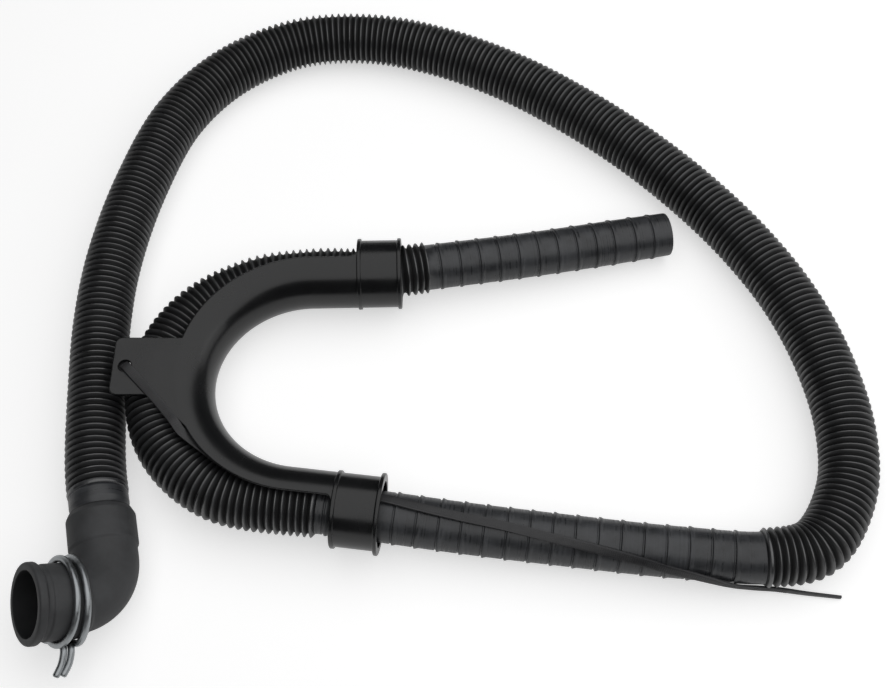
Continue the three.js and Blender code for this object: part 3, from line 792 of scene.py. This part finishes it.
def ribs(start, end, pitch, radius, hand):
    """Corners of ribs at a pitch, from one distance until short of another."""
    corners = []
    for at in np.arange(start, end - RIB_WIDTH, pitch):
        corners.extend(rib(at, radius, hand))
    return corners


def outlet_mouth(start):
    """Corners of the tapering outlet end with its ribs."""
    corners = []
    for at in OUTLET_MOUTH_RIBS:
        radius = OUTLET_RADIUS + (OUTLET_MOUTH_RADIUS - OUTLET_RADIUS) * at / OUTLET_MOUTH_LENGTH
        corners.extend(rib(start + at, radius, -1))
    return corners


def hose():
    grip_start, grip_end = length_to(grip_start_index) + GRIP_START_SHIFT, length_to(grip_end_index)
    outlet_start, end = length_to(outlet_index), hose_route.length
    mouth_start = end - OUTLET_MOUTH_LENGTH
    neck_end = INLET_CUFF_INSERTED + INLET_NECK_END
    cuff = rounded([
        (INLET_CUFF_BORE, 0.0, 0.0004),
        (INLET_NECK_RADIUS, 0.0, 0.0005),
        (INLET_NECK_RADIUS, neck_end, 0.0005),
        (INLET_CUFF_RADIUS + FIT, neck_end + INLET_NECK_RISE, 0.0012),
        (INLET_CUFF_RADIUS + FIT, INLET_CUFF_LENGTH - 0.0005, 0.0003),
    ])
    outer_cuff = cuff[CORNER_PARTS + 1:]
    grip = rounded([
        (CREST_RADIUS - GROOVE_DEPTH, grip_start - BLEND_LENGTH + BLEND_INSET, 0.0004),
        (GRIP_RADIUS, grip_start, 0.002),
        *ribs(grip_start + GRIP_PLAIN_END, grip_end, GRIP_RIB_PITCH, GRIP_RADIUS, 1),
        (GRIP_RADIUS, grip_end, 0.001),
        (CREST_RADIUS - GROOVE_DEPTH, grip_end + BLEND_LENGTH - BLEND_INSET, 0.0004),
    ])
    outlet = rounded([
        (OUTLET_RADIUS, outlet_start + BLEND_INSET, 0.0006),
        *ribs(outlet_start + OUTLET_PLAIN_END, mouth_start, OUTLET_RIB_PITCH, OUTLET_RADIUS, -1),
        *outlet_mouth(mouth_start),
        (OUTLET_MOUTH_RADIUS, end, 0.0005),
        (OUTLET_MOUTH_RADIUS - OUTLET_WALL, end, 0.0005),
        (OUTLET_RADIUS - OUTLET_WALL, mouth_start, 0.002),
        (OUTLET_RADIUS - OUTLET_WALL, outlet_start, 0.001),
        (EXIT_BORE_RADIUS, outlet_start - BLEND_LENGTH, 0.001),
        (EXIT_BORE_RADIUS, outlet_start - EXIT_CREST_LENGTH, 0.001),
        (HOSE_BORE_RADIUS, outlet_start - EXIT_CREST_LENGTH - EXIT_TAPER_LENGTH, 0.001),
        (HOSE_BORE_RADIUS, grip_end + BLEND_LENGTH, 0.001),
        (GRIP_BORE, grip_end, 0.001),
        (GRIP_BORE, grip_start, 0.001),
        (HOSE_BORE_RADIUS, grip_start - BLEND_LENGTH, 0.001),
        (HOSE_BORE_RADIUS, INLET_CUFF_LENGTH + BLEND_LENGTH, 0.001),
        (INLET_CUFF_BORE, INLET_CUFF_LENGTH, 0.001),
        (INLET_CUFF_BORE, 0.0, 0.0004),
    ])
    stations = [
        *plain(outer_cuff),
        *corrugated(INLET_CUFF_LENGTH, grip_start - BLEND_LENGTH),
        *plain(open_cut(grip, GRIP_STEP)),
        *corrugated(grip_end + BLEND_LENGTH, outlet_start),
        *plain(open_cut(outlet, OUTLET_STEP)),
    ]
    piece = turned_wall("hose_corrugated", stations, hose_route, HOSE_SIDES, hose_plastic(), GROOVE_DEPTH)
    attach(piece, "root")
    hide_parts("hose")


# Elbow

def elbow_route():
    bend_start = elbow_corner + mouth_axis * ELBOW_BEND_RADIUS * math.tan(elbow_turn / 2)
    bend_centre = bend_start + elbow_inside * ELBOW_BEND_RADIUS
    turns = np.linspace(0, elbow_turn, ELBOW_BEND_POINTS)[:, None]
    bend = bend_centre - ELBOW_BEND_RADIUS * (elbow_inside * np.cos(turns) + mouth_axis * np.sin(turns))
    straight = np.linspace(0, 1, ELBOW_STRAIGHT_POINTS, endpoint=False)[:, None]
    return Route(
        np.vstack([
            mouth_centre + (bend[0] - mouth_centre) * straight,
            bend,
            socket_end + (bend[-1] - socket_end) * straight[::-1],
        ]),
        elbow_under,
    )


def elbow():
    route = elbow_route()
    length = route.length
    socket_start = length - SOCKET_LENGTH
    neck_start = BEAD_LENGTH + SEAT_BLEND
    seat_start = neck_start + NECK_LENGTH
    seat_end = seat_start + SEAT_LENGTH
    socket_bore = INLET_CUFF_RADIUS + FIT
    socket_depth = INLET_CUFF_INSERTED + FIT
    outline = rounded([
        (MOUTH_BORE, 0.0, 0.0006),
        (BEAD_RADIUS, 0.0, 0.0016),
        (BEAD_RADIUS, BEAD_LENGTH, 0.0016),
        (NECK_RADIUS, neck_start, 0.0012),
        (NECK_RADIUS, seat_start - SEAT_BLEND, 0.0012),
        (SEAT_RADIUS, seat_start, 0.0012),
        (SEAT_RADIUS, seat_end, 0.0012),
        (ELBOW_RADIUS, seat_end + SEAT_BLEND, 0.0012),
        (ELBOW_RADIUS, socket_start - SOCKET_STEP, 0.0008),
        (SOCKET_RADIUS, socket_start, 0.0012),
        (SOCKET_RADIUS, length - SOCKET_CHAMFER, 0.0014),
        (socket_bore + 0.0006, length, 0.0005),
        (socket_bore, length, 0.0004),
        (socket_bore, length - socket_depth, 0.0004),
        (ELBOW_BORE, length - socket_depth, 0.0004),
        (ELBOW_BORE, MOUTH_BORE_DEPTH + MOUTH_BORE - ELBOW_BORE, 0.001),
        (MOUTH_BORE, MOUTH_BORE_DEPTH, 0.001),
    ], 5)
    # With no groove depth, the groove share only marks the inside, where the material paints shade
    stations = [
        (radius, distance, float(radius < MOUTH_BORE + FIT), MID_GROOVE)
        for radius, distance in cut_long(outline, ELBOW_STEP)
    ]
    piece = turned_wall("elbow_rubber", stations, route, ELBOW_SIDES, elbow_rubber())
    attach(piece, "root")
    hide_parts("elbow")


# Wire clamp

clamp_radius = SEAT_RADIUS + FIT + WIRE_RADIUS
clamp_foot = clamp_radius + CLAMP_BEND
clamp_centre = mouth_centre - mouth_axis * CLAMP_SETBACK
clamp_wrap = CLAMP_SPACING[-1][0]


def half_spacing(angle):
    angles, spacings = zip(*CLAMP_SPACING)
    return float(np.interp(angle, angles, spacings)) / 2


def clamp_point(angle, radius, shift, axial):
    """A point by its angle round the elbow, its radius, a shift onward and its place along the axis."""
    turn = math.radians(angle + CLAMP_END_ANGLE)
    outward = elbow_under * math.sin(turn) - elbow_inside * math.cos(turn)
    onward = elbow_under * math.cos(turn) + elbow_inside * math.sin(turn)
    return clamp_centre + outward * radius + onward * shift + mouth_axis * axial


def clamp_loop(hand):
    """Points of one loop, from its free end to the bridge."""
    knee = CLAMP_BEND * (1 - math.sqrt(0.5))
    diagonal = CLAMP_BEND * math.sqrt(0.5)
    end_spacing = hand * half_spacing(0)
    bridge_spacing = hand * half_spacing(clamp_wrap)
    tip = clamp_foot + CLAMP_TANG
    wrap_angles = range(CLAMP_POINT_STEP // 2, clamp_wrap, CLAMP_POINT_STEP)
    return [
        clamp_point(0, tip, -CLAMP_BEND, end_spacing * CLAMP_TIP_SHARE + CLAMP_TANG_LEAN),
        clamp_point(0, (tip + clamp_foot) / 2, -CLAMP_BEND, end_spacing + CLAMP_TANG_LEAN / 4),
        clamp_point(0, clamp_foot, -CLAMP_BEND, end_spacing),
        clamp_point(0, clamp_radius + knee, -diagonal, end_spacing),
        *[clamp_point(angle, clamp_radius, 0.0, hand * half_spacing(angle)) for angle in wrap_angles],
        clamp_point(clamp_wrap, clamp_radius + knee, diagonal, bridge_spacing),
        clamp_point(clamp_wrap, clamp_foot, CLAMP_BEND, bridge_spacing),
        clamp_point(clamp_wrap, clamp_foot + CLAMP_BRIDGE, CLAMP_BEND,
                    bridge_spacing * CLAMP_BRIDGE_NARROWING),
    ]


def clamp():
    crown = clamp_foot + CLAMP_BRIDGE + half_spacing(clamp_wrap) * CLAMP_BRIDGE_ROUNDNESS
    points = [
        *clamp_loop(1),
        clamp_point(clamp_wrap, crown, CLAMP_BEND, 0.0),
        *clamp_loop(-1)[::-1],
    ]
    route = Route(smooth_line(points, CLAMP_SPAN_POINTS))
    tip = WIRE_RADIUS * WIRE_TIP_SHARE
    outline = [(0.0, 0.0), (WIRE_RADIUS - tip, 0.0), (WIRE_RADIUS, tip)]
    outline += [(WIRE_RADIUS, d) for d in np.linspace(tip, route.length - tip, WIRE_STATIONS)[1:]]
    outline += [(WIRE_RADIUS - tip, route.length), (0.0, route.length)]
    piece = turned_wall("spring_clamp_wire", plain(outline), route, WIRE_SIDES, zinc_wire())
    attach(piece, "root")
    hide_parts("spring_clamp")


# Solid meshes

def mesh_piece(name, vertices, faces, material):
    mesh = bpy.data.meshes.new(name)
    mesh.from_pydata([tuple(v) for v in vertices], [], faces)
    mesh.materials.append(material)
    return linked(name, mesh)


def loft(name, rings, material):
    """A closed solid through rings of points, with its two ends capped."""
    rings = np.asarray(rings)
    count, around = rings.shape[:2]
    faces = [tuple(range(around))[::-1], tuple((count - 1) * around + k for k in range(around))]
    for first in range(0, (count - 1) * around, around):
        for k in range(around):
            ahead = (k + 1) % around
            faces.append((first + k, first + ahead, first + around + ahead, first + around + k))
    return mesh_piece(name, rings.reshape(-1, 3), faces, material)


def apply_modifiers(piece):
    mesh = worked_out(piece)
    piece.modifiers.clear()
    piece.data = mesh


def join_solids(main, others):
    """Makes the other solids one with the main one."""
    for other in others:
        modifier = main.modifiers.new("join", "BOOLEAN")
        modifier.operation = "UNION"
        modifier.solver = "EXACT"
        modifier.object = other
    apply_modifiers(main)
    for other in others:
        bpy.data.objects.remove(other)


def gather(main, other):
    """Adds the other's closed shell to the main piece's mesh."""
    work = bmesh.new()
    work.from_mesh(main.data)
    work.from_mesh(other.data)
    work.to_mesh(main.data)
    work.free()
    bpy.data.objects.remove(other)


def shade(piece, degrees):
    """Smooth shading with the edges sharper than an angle kept."""
    piece.data.polygons.foreach_set("use_smooth", [True] * len(piece.data.polygons))
    piece.data.set_sharp_from_angle(angle=math.radians(degrees))


# U-bend holder

def arc(centre, radius, start, end, parts):
    return [
        (centre[0] + radius * math.cos(turn), centre[1] + radius * math.sin(turn))
        for turn in np.linspace(start, end, parts)
    ]


def channel_section(wrap):
    """Half-pipe section as (out, up) pairs, its arms wrapped past the top and bottom by an angle."""
    start, end = math.radians(90 - wrap), math.radians(270 + wrap)
    middle_radius = (CHANNEL_BORE + CHANNEL_RADIUS) / 2

    def cap(arm, spin):
        middle = (middle_radius * math.cos(arm), middle_radius * math.sin(arm))
        return arc(middle, CHANNEL_WALL / 2, arm, arm + spin * math.pi, CHANNEL_CAP_POINTS)[1:-1]

    return [
        *arc((0, 0), CHANNEL_RADIUS, start, end, CHANNEL_POINTS),
        *cap(end, 1),
        *arc((0, 0), CHANNEL_BORE, end, start, CHANNEL_POINTS),
        *cap(start, -1)[::-1],
    ]


def wrap_at(distance):
    """Wrap of the arms, which widens next to a collar, so that the open side has rounded corners."""
    into = max(0.0, WINDOW_CORNER - max(0.0, LEG_LENGTH - distance))
    rise = WINDOW_CORNER - math.sqrt(max(0.0, WINDOW_CORNER**2 - into**2))
    half_wall = CHANNEL_WALL / 2
    return math.degrees(math.asin((CHANNEL_LIP + rise - half_wall) / (CHANNEL_BORE + half_wall)))


def channel_stations():
    """Places along the holder: point, outward direction and wrap of the arms."""
    leg_steps = [
        *np.linspace(0, LEG_LENGTH - WINDOW_CORNER, 5),
        *(LEG_LENGTH - WINDOW_CORNER * (1 - math.sin(a)) for a in np.linspace(0, math.pi / 2, 9)[1:]),
        LEG_LENGTH + FLANGE_THICKNESS / 2,
    ]
    sweep = np.linspace(upper_leg.outward_angle, lower_leg.outward_angle, BEND_STEPS)[1:-1]
    return [
        *((upper_leg.point(step), upper_leg.outward, wrap_at(step)) for step in leg_steps[::-1]),
        *((holder_centre + heading(a) * BEND_RADIUS, heading(a), wrap_at(0.0)) for a in sweep),
        *((lower_leg.point(step), lower_leg.outward, wrap_at(step)) for step in leg_steps),
    ]


def channel(material):
    rings = []
    for point, outward, wrap in channel_stations():
        rings.append([point + outward * out + UP * rise for out, rise in channel_section(wrap)])
    return loft("channel", rings, material)


def collar(leg, mouth_radius, material):
    outline = rounded([
        (CHANNEL_BORE, 0.0, 0.0003),
        (RIM_RADIUS, 0.0, 0.0008),
        (RIM_RADIUS, FLANGE_THICKNESS, 0.0008),
        (CHANNEL_RADIUS, FLANGE_THICKNESS, 0.0005),
        (CHANNEL_RADIUS, COLLAR_LENGTH - FLANGE_THICKNESS, 0.0005),
        (mouth_radius, COLLAR_LENGTH - FLANGE_THICKNESS, 0.0008),
        (mouth_radius, COLLAR_LENGTH, 0.0008),
        (CHANNEL_BORE, COLLAR_LENGTH, 0.0003),
    ], 4)
    route = Route([leg.point(LEG_LENGTH), leg.point(collar_end)], UP)
    return turned_wall("collar", plain(outline), route, HOLDER_SIDES, material)


def tab(material):
    """Flat plate with rounded edges and a hole, level with the top of the half-pipe."""
    top_angle = math.pi - math.asin(TAB_TOP / BEND_RADIUS)
    heel_angle = math.pi - math.asin(TAB_HEEL / BEND_RADIUS)
    corner = TAB_CORNER - TAB_REACH
    outline = [
        (BEND_RADIUS * math.cos(top_angle), TAB_TOP),
        *arc((corner, TAB_TOP - TAB_CORNER), TAB_CORNER, math.pi / 2, math.pi, TAB_CORNER_POINTS),
        *arc((corner, TAB_BOTTOM + TAB_CORNER), TAB_CORNER, math.pi, 1.5 * math.pi, TAB_CORNER_POINTS),
        (-TAB_SHOULDER, TAB_BOTTOM),
        (BEND_RADIUS * math.cos(heel_angle), TAB_HEEL),
        *arc((0, 0), BEND_RADIUS - TAB_OVERLAP, heel_angle, top_angle, 25),
    ]
    hole_middle = (-TAB_HOLE_REACH, (TAB_TOP + TAB_BOTTOM) / 2)
    hole = arc(hole_middle, TAB_HOLE_RADIUS, 0, -2 * math.pi, TAB_HOLE_POINTS)[:-1]
    data = bpy.data.curves.new("tab", "CURVE")
    data.dimensions = "2D"
    data.fill_mode = "BOTH"
    data.extrude = TAB_THICKNESS / 2 - TAB_EDGE
    data.bevel_depth = TAB_EDGE
    data.bevel_resolution = 2
    data.offset = -TAB_EDGE
    for loop in (outline, hole):
        spline = data.splines.new("POLY")
        spline.points.add(len(loop) - 1)
        spline.points.foreach_set("co", [c for x, y in loop for c in (x, y, 0.0, 1.0)])
        spline.use_cyclic_u = True
    seed = linked("tab_outline", data)
    mesh = worked_out(seed)
    bpy.data.objects.remove(seed)
    mesh.materials.clear()
    mesh.materials.append(material)
    weld(mesh)
    places = np.empty(len(mesh.vertices) * 3)
    mesh.vertices.foreach_get("co", places)
    lift = at_height(holder_centre, TAB_TOP_HEIGHT - TAB_THICKNESS / 2 - TAB_DROP)
    mesh.vertices.foreach_set("co", (places.reshape(-1, 3) + lift).ravel())
    return linked("tab", mesh)


def weld(mesh):
    """Merges doubled points and turns every face outwards."""
    work = bmesh.new()
    work.from_mesh(mesh)
    bmesh.ops.remove_doubles(work, verts=work.verts, dist=SAME_PLACE)
    bmesh.ops.recalc_face_normals(work, faces=work.faces)
    work.to_mesh(mesh)
    work.free()


def holder():
    material = holder_plastic()
    piece = channel(material)
    weld(piece.data)
    join_solids(piece, [
        collar(upper_leg, RIM_RADIUS, material),
        collar(lower_leg, FLANGE_RADIUS, material),
        tab(material),
    ])
    piece.name = piece.data.name = "holder_moulding"
    weld(piece.data)
    shade(piece, HOLDER_SHARP_ANGLE)
    even = piece.modifiers.new("even_normals", "WEIGHTED_NORMAL")
    even.keep_sharp = True
    apply_modifiers(piece)
    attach(piece, "root")
    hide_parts("u_bend_holder")


# Cable tie

strap_leave = heading(STRAP_HEADING)
strap_over = TAB_TOP_HEIGHT + FIT + TIE_THICKNESS / 2
strap_low = BOWED_HEIGHT + CREST_RADIUS + FIT + TIE_THICKNESS / 2
hole_centre = np.array([
    BEND_CENTRE[0] - TAB_HOLE_REACH,
    BEND_CENTRE[1] + (TAB_TOP + TAB_BOTTOM) / 2,
    TAB_TOP_HEIGHT - TAB_THICKNESS,
])


def on_hose(distance, angle):
    """Place and outward direction of the strap on the hose, at an angle from its top."""
    point, _, side, rise = hose_route.at(length_to(grip_end_index) - distance)
    turn = math.radians(angle)
    outward = rise * math.cos(turn) + side * math.sin(turn)
    return point + outward * (GRIP_RADIUS + RIB_HEIGHT + FIT + TIE_THICKNESS / 2), outward


def strap_stations():
    """Places along the strap, each with the direction that its upper face looks."""
    def over_hole(distance, height):
        return at_height(hole_centre + strap_leave * distance, height)

    stations = [(over_hole(TIE_BACKSET, hole_centre[2] + rise), -strap_leave) for rise in TIE_RISERS]
    for distance, lift in TIE_OVER_TAB:
        facing = UP if distance else unit(UP - strap_leave)
        stations.append((over_hole(distance, strap_over + lift), facing))
    for angle, radius, lift, lean in TIE_BEND:
        outward = heading(angle)
        place = at_height(holder_centre + outward * radius, strap_low + lift)
        stations.append((place, unit(UP - outward * lean)))
    for distance, offset, lift in TIE_LEG:
        stations.append((lower_leg.point(distance, offset, strap_low + lift), UP))
    collar_exit = length_to(grip_end_index) - length_to(grip_end_index - 1)
    for distance, angle in TIE_LAY:
        stations.append(on_hose(collar_exit + distance, angle))
    for place in TIE_TAIL:
        stations.append((np.array(place), TIE_TAIL_FACING))
    return stations


def strap_frames():
    """The strap's route, with the directions across it and out of its upper face."""
    points, outwards = (np.array(column) for column in zip(*strap_stations()))
    route = Route(smooth_line(points, TIE_SPAN_POINTS))
    places = np.linspace(0, len(points) - 1, len(route.points))
    facing = columns_at(places, np.arange(len(points)), outwards)
    across = unit(np.cross(route.tangents, facing))
    return route, across, np.cross(across, route.tangents)


def teeth_tree():
    """Sets a small cross bar on each point of a line, turned to the strap there."""
    tree = geometry_tree("strap_teeth", [
        ("Width", "NodeSocketFloat"),
        ("Depth", "NodeSocketFloat"),
        ("Height", "NodeSocketFloat"),
        ("Material", "NodeSocketMaterial"),
    ])
    g = Graph(tree)
    source = tree.nodes.new("NodeGroupInput").outputs
    size = g.add("ShaderNodeCombineXYZ", {"X": source["Depth"], "Y": source["Width"], "Z": source["Height"]})
    bar = g.add("GeometryNodeMeshCube", {"Size": size}, "Mesh")
    outward, onward = (
        g.add("GeometryNodeInputNamedAttribute", {"Name": name}, "Attribute", data_type="FLOAT_VECTOR")
        for name in ("outward", "onward")
    )
    axes = {"Primary Axis": outward, "Secondary Axis": onward}
    turn = g.add("FunctionNodeAxesToRotation", axes, primary_axis="Z", secondary_axis="X")
    bars = {"Points": source["Geometry"], "Instance": bar, "Rotation": turn}
    g.finish(g.add("GeometryNodeInstanceOnPoints", bars), source["Material"])
    return tree


def cable_tie():
    material = tie_nylon()
    route, across, outward = strap_frames()
    section = rounded([
        (TIE_WIDTH / 2 * x, TIE_THICKNESS / 2 * y, TIE_EDGE) for x, y in SQUARE
    ], 2)
    left = np.clip((route.length - route.reach) / TIE_TAPER, 0, 1)
    widths = TIE_TIP_SHARE + (1 - TIE_TIP_SHARE) * left
    rings = [
        [route.points[i] + across[i] * x * widths[i] + outward[i] * y for x, y in section]
        for i in range(len(route.points))
    ]
    piece = loft("strap", rings, material)
    weld(piece.data)
    head = mesh_piece("head", *box_mesh(TIE_HEAD), material)
    bevel = head.modifiers.new("edge", "BEVEL")
    bevel.width = TIE_HEAD_EDGE
    bevel.segments = 3
    apply_modifiers(head)
    turn = math.radians(STRAP_HEADING)
    places = np.array([v.co for v in head.data.vertices]) + [TIE_HEAD_OFFSET, 0, 0]
    spin = np.array([[math.cos(turn), -math.sin(turn), 0], [math.sin(turn), math.cos(turn), 0], [0, 0, 1]])
    places = places @ spin.T + at_height(hole_centre, hole_centre[2] - FIT - TIE_HEAD[2] / 2)
    head.data.vertices.foreach_set("co", places.ravel())
    gather(piece, head)
    piece.name = piece.data.name = "cable_tie_strap"
    weld(piece.data)
    shade(piece, TIE_SHARP_ANGLE)
    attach(piece, "root")
    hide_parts("cable_tie")
    teeth(route, outward, material)


def teeth(route, outward, material):
    """Fine cross teeth along the strap's upper face, up to its plain tail."""
    distances = np.arange(TIE_SMOOTH_START, route.length - TIE_SMOOTH_TAIL, TIE_TOOTH_PITCH)
    points, onward, face = (
        columns_at(distances, route.reach, values) for values in (route.points, route.tangents, outward)
    )
    face = unit(face)
    points = points + face * TIE_THICKNESS / 2
    mesh = line_mesh("strap_teeth", points, outward=face, onward=unit(onward))
    piece = grown("cable_tie_teeth", mesh, teeth_tree(), {
        "Width": TIE_WIDTH * TIE_TEETH_WIDTH_SHARE,
        "Depth": TIE_TOOTH_PITCH * TIE_TOOTH_SHARE,
        "Height": 2 * TIE_TOOTH_HEIGHT,
        "Material": material,
    })
    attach(piece, "root")


def box_mesh(size):
    """Vertices and faces of a box round the origin."""
    x, y, z = (value / 2 for value in size)
    vertices = [(a, b, c) for a in (-x, x) for b in (-y, y) for c in (-z, z)]
    faces = [(0, 1, 3, 2), (4, 6, 7, 5), (0, 4, 5, 1), (2, 3, 7, 6), (0, 2, 6, 4), (1, 5, 7, 3)]
    return vertices, faces


# Floor, lamps and world

FLOOR_REACH = 6.0
FLOOR_SHADE = 0.7
FLOOR_GLOW = 0.56
FLOOR_MIRRORED_GLOW = 0.35
WORLD_GLOW = 0.03

# Name, place, the point that it faces, size and radiance
SOFTBOXES = (
    ("top_softbox", (0.8, -0.05, 1.1), (0.8, -0.05, 0.0), (2.9, 2.4), 1.07),
    ("side_softbox", (2.2, 0.2, 0.7), (0.0, 0.0, 0.0), (1.6, 1.0), 0.9),
)


def floor():
    corners = [(x * FLOOR_REACH, y * FLOOR_REACH, 0.0) for x, y in SQUARE]
    material, g, shader = new_material("pale_floor", {
        "Base Color": (FLOOR_SHADE, FLOOR_SHADE, FLOOR_SHADE, 1),
        "Roughness": 0.9,
        "Specular IOR Level": 0.1,
        "Emission Color": (1, 1, 1, 1),
    })
    seen = g.math("MULTIPLY", ray(g, "Is Camera Ray"), FLOOR_GLOW)
    mirrored = g.math("MULTIPLY", ray(g, "Is Glossy Ray"), FLOOR_MIRRORED_GLOW)
    g.feed(shader, {"Emission Strength": g.math("ADD", seen, mirrored)})
    mesh_piece("floor", corners, [(0, 1, 2, 3)], material)


def ray(g, kind):
    return g.add("ShaderNodeLightPath", {}, kind)


def softbox(name, place, target, size, radiance):
    """Rectangular lamp with the same brightness all over its face."""
    data = bpy.data.lights.new(name, "AREA")
    data.shape = "RECTANGLE"
    data.size, data.size_y = size
    data.energy = radiance * math.pi * size[0] * size[1]
    lamp = linked(name, data)
    lamp.location = place
    lamp.rotation_mode = "QUATERNION"
    direction = Vector(target) - Vector(place)
    lamp.rotation_quaternion = direction.to_track_quat("-Z", "Y")


def studio():
    for row in SOFTBOXES:
        softbox(*row)
    world = bpy.data.worlds.new("studio")
    world.use_nodes = True
    bpy.context.scene.world = world
    g = Graph(world.node_tree)
    strength = spread(g, ray(g, "Is Camera Ray"), WORLD_GLOW, 1.0, 0.0, 1.0)
    g.feed(world.node_tree.nodes["Background"], {"Color": (1, 1, 1, 1), "Strength": strength})
    bpy.context.scene.view_settings.view_transform = "Standard"


camera()
hose()
elbow()
clamp()
holder()
cable_tie()
floor()
studio()
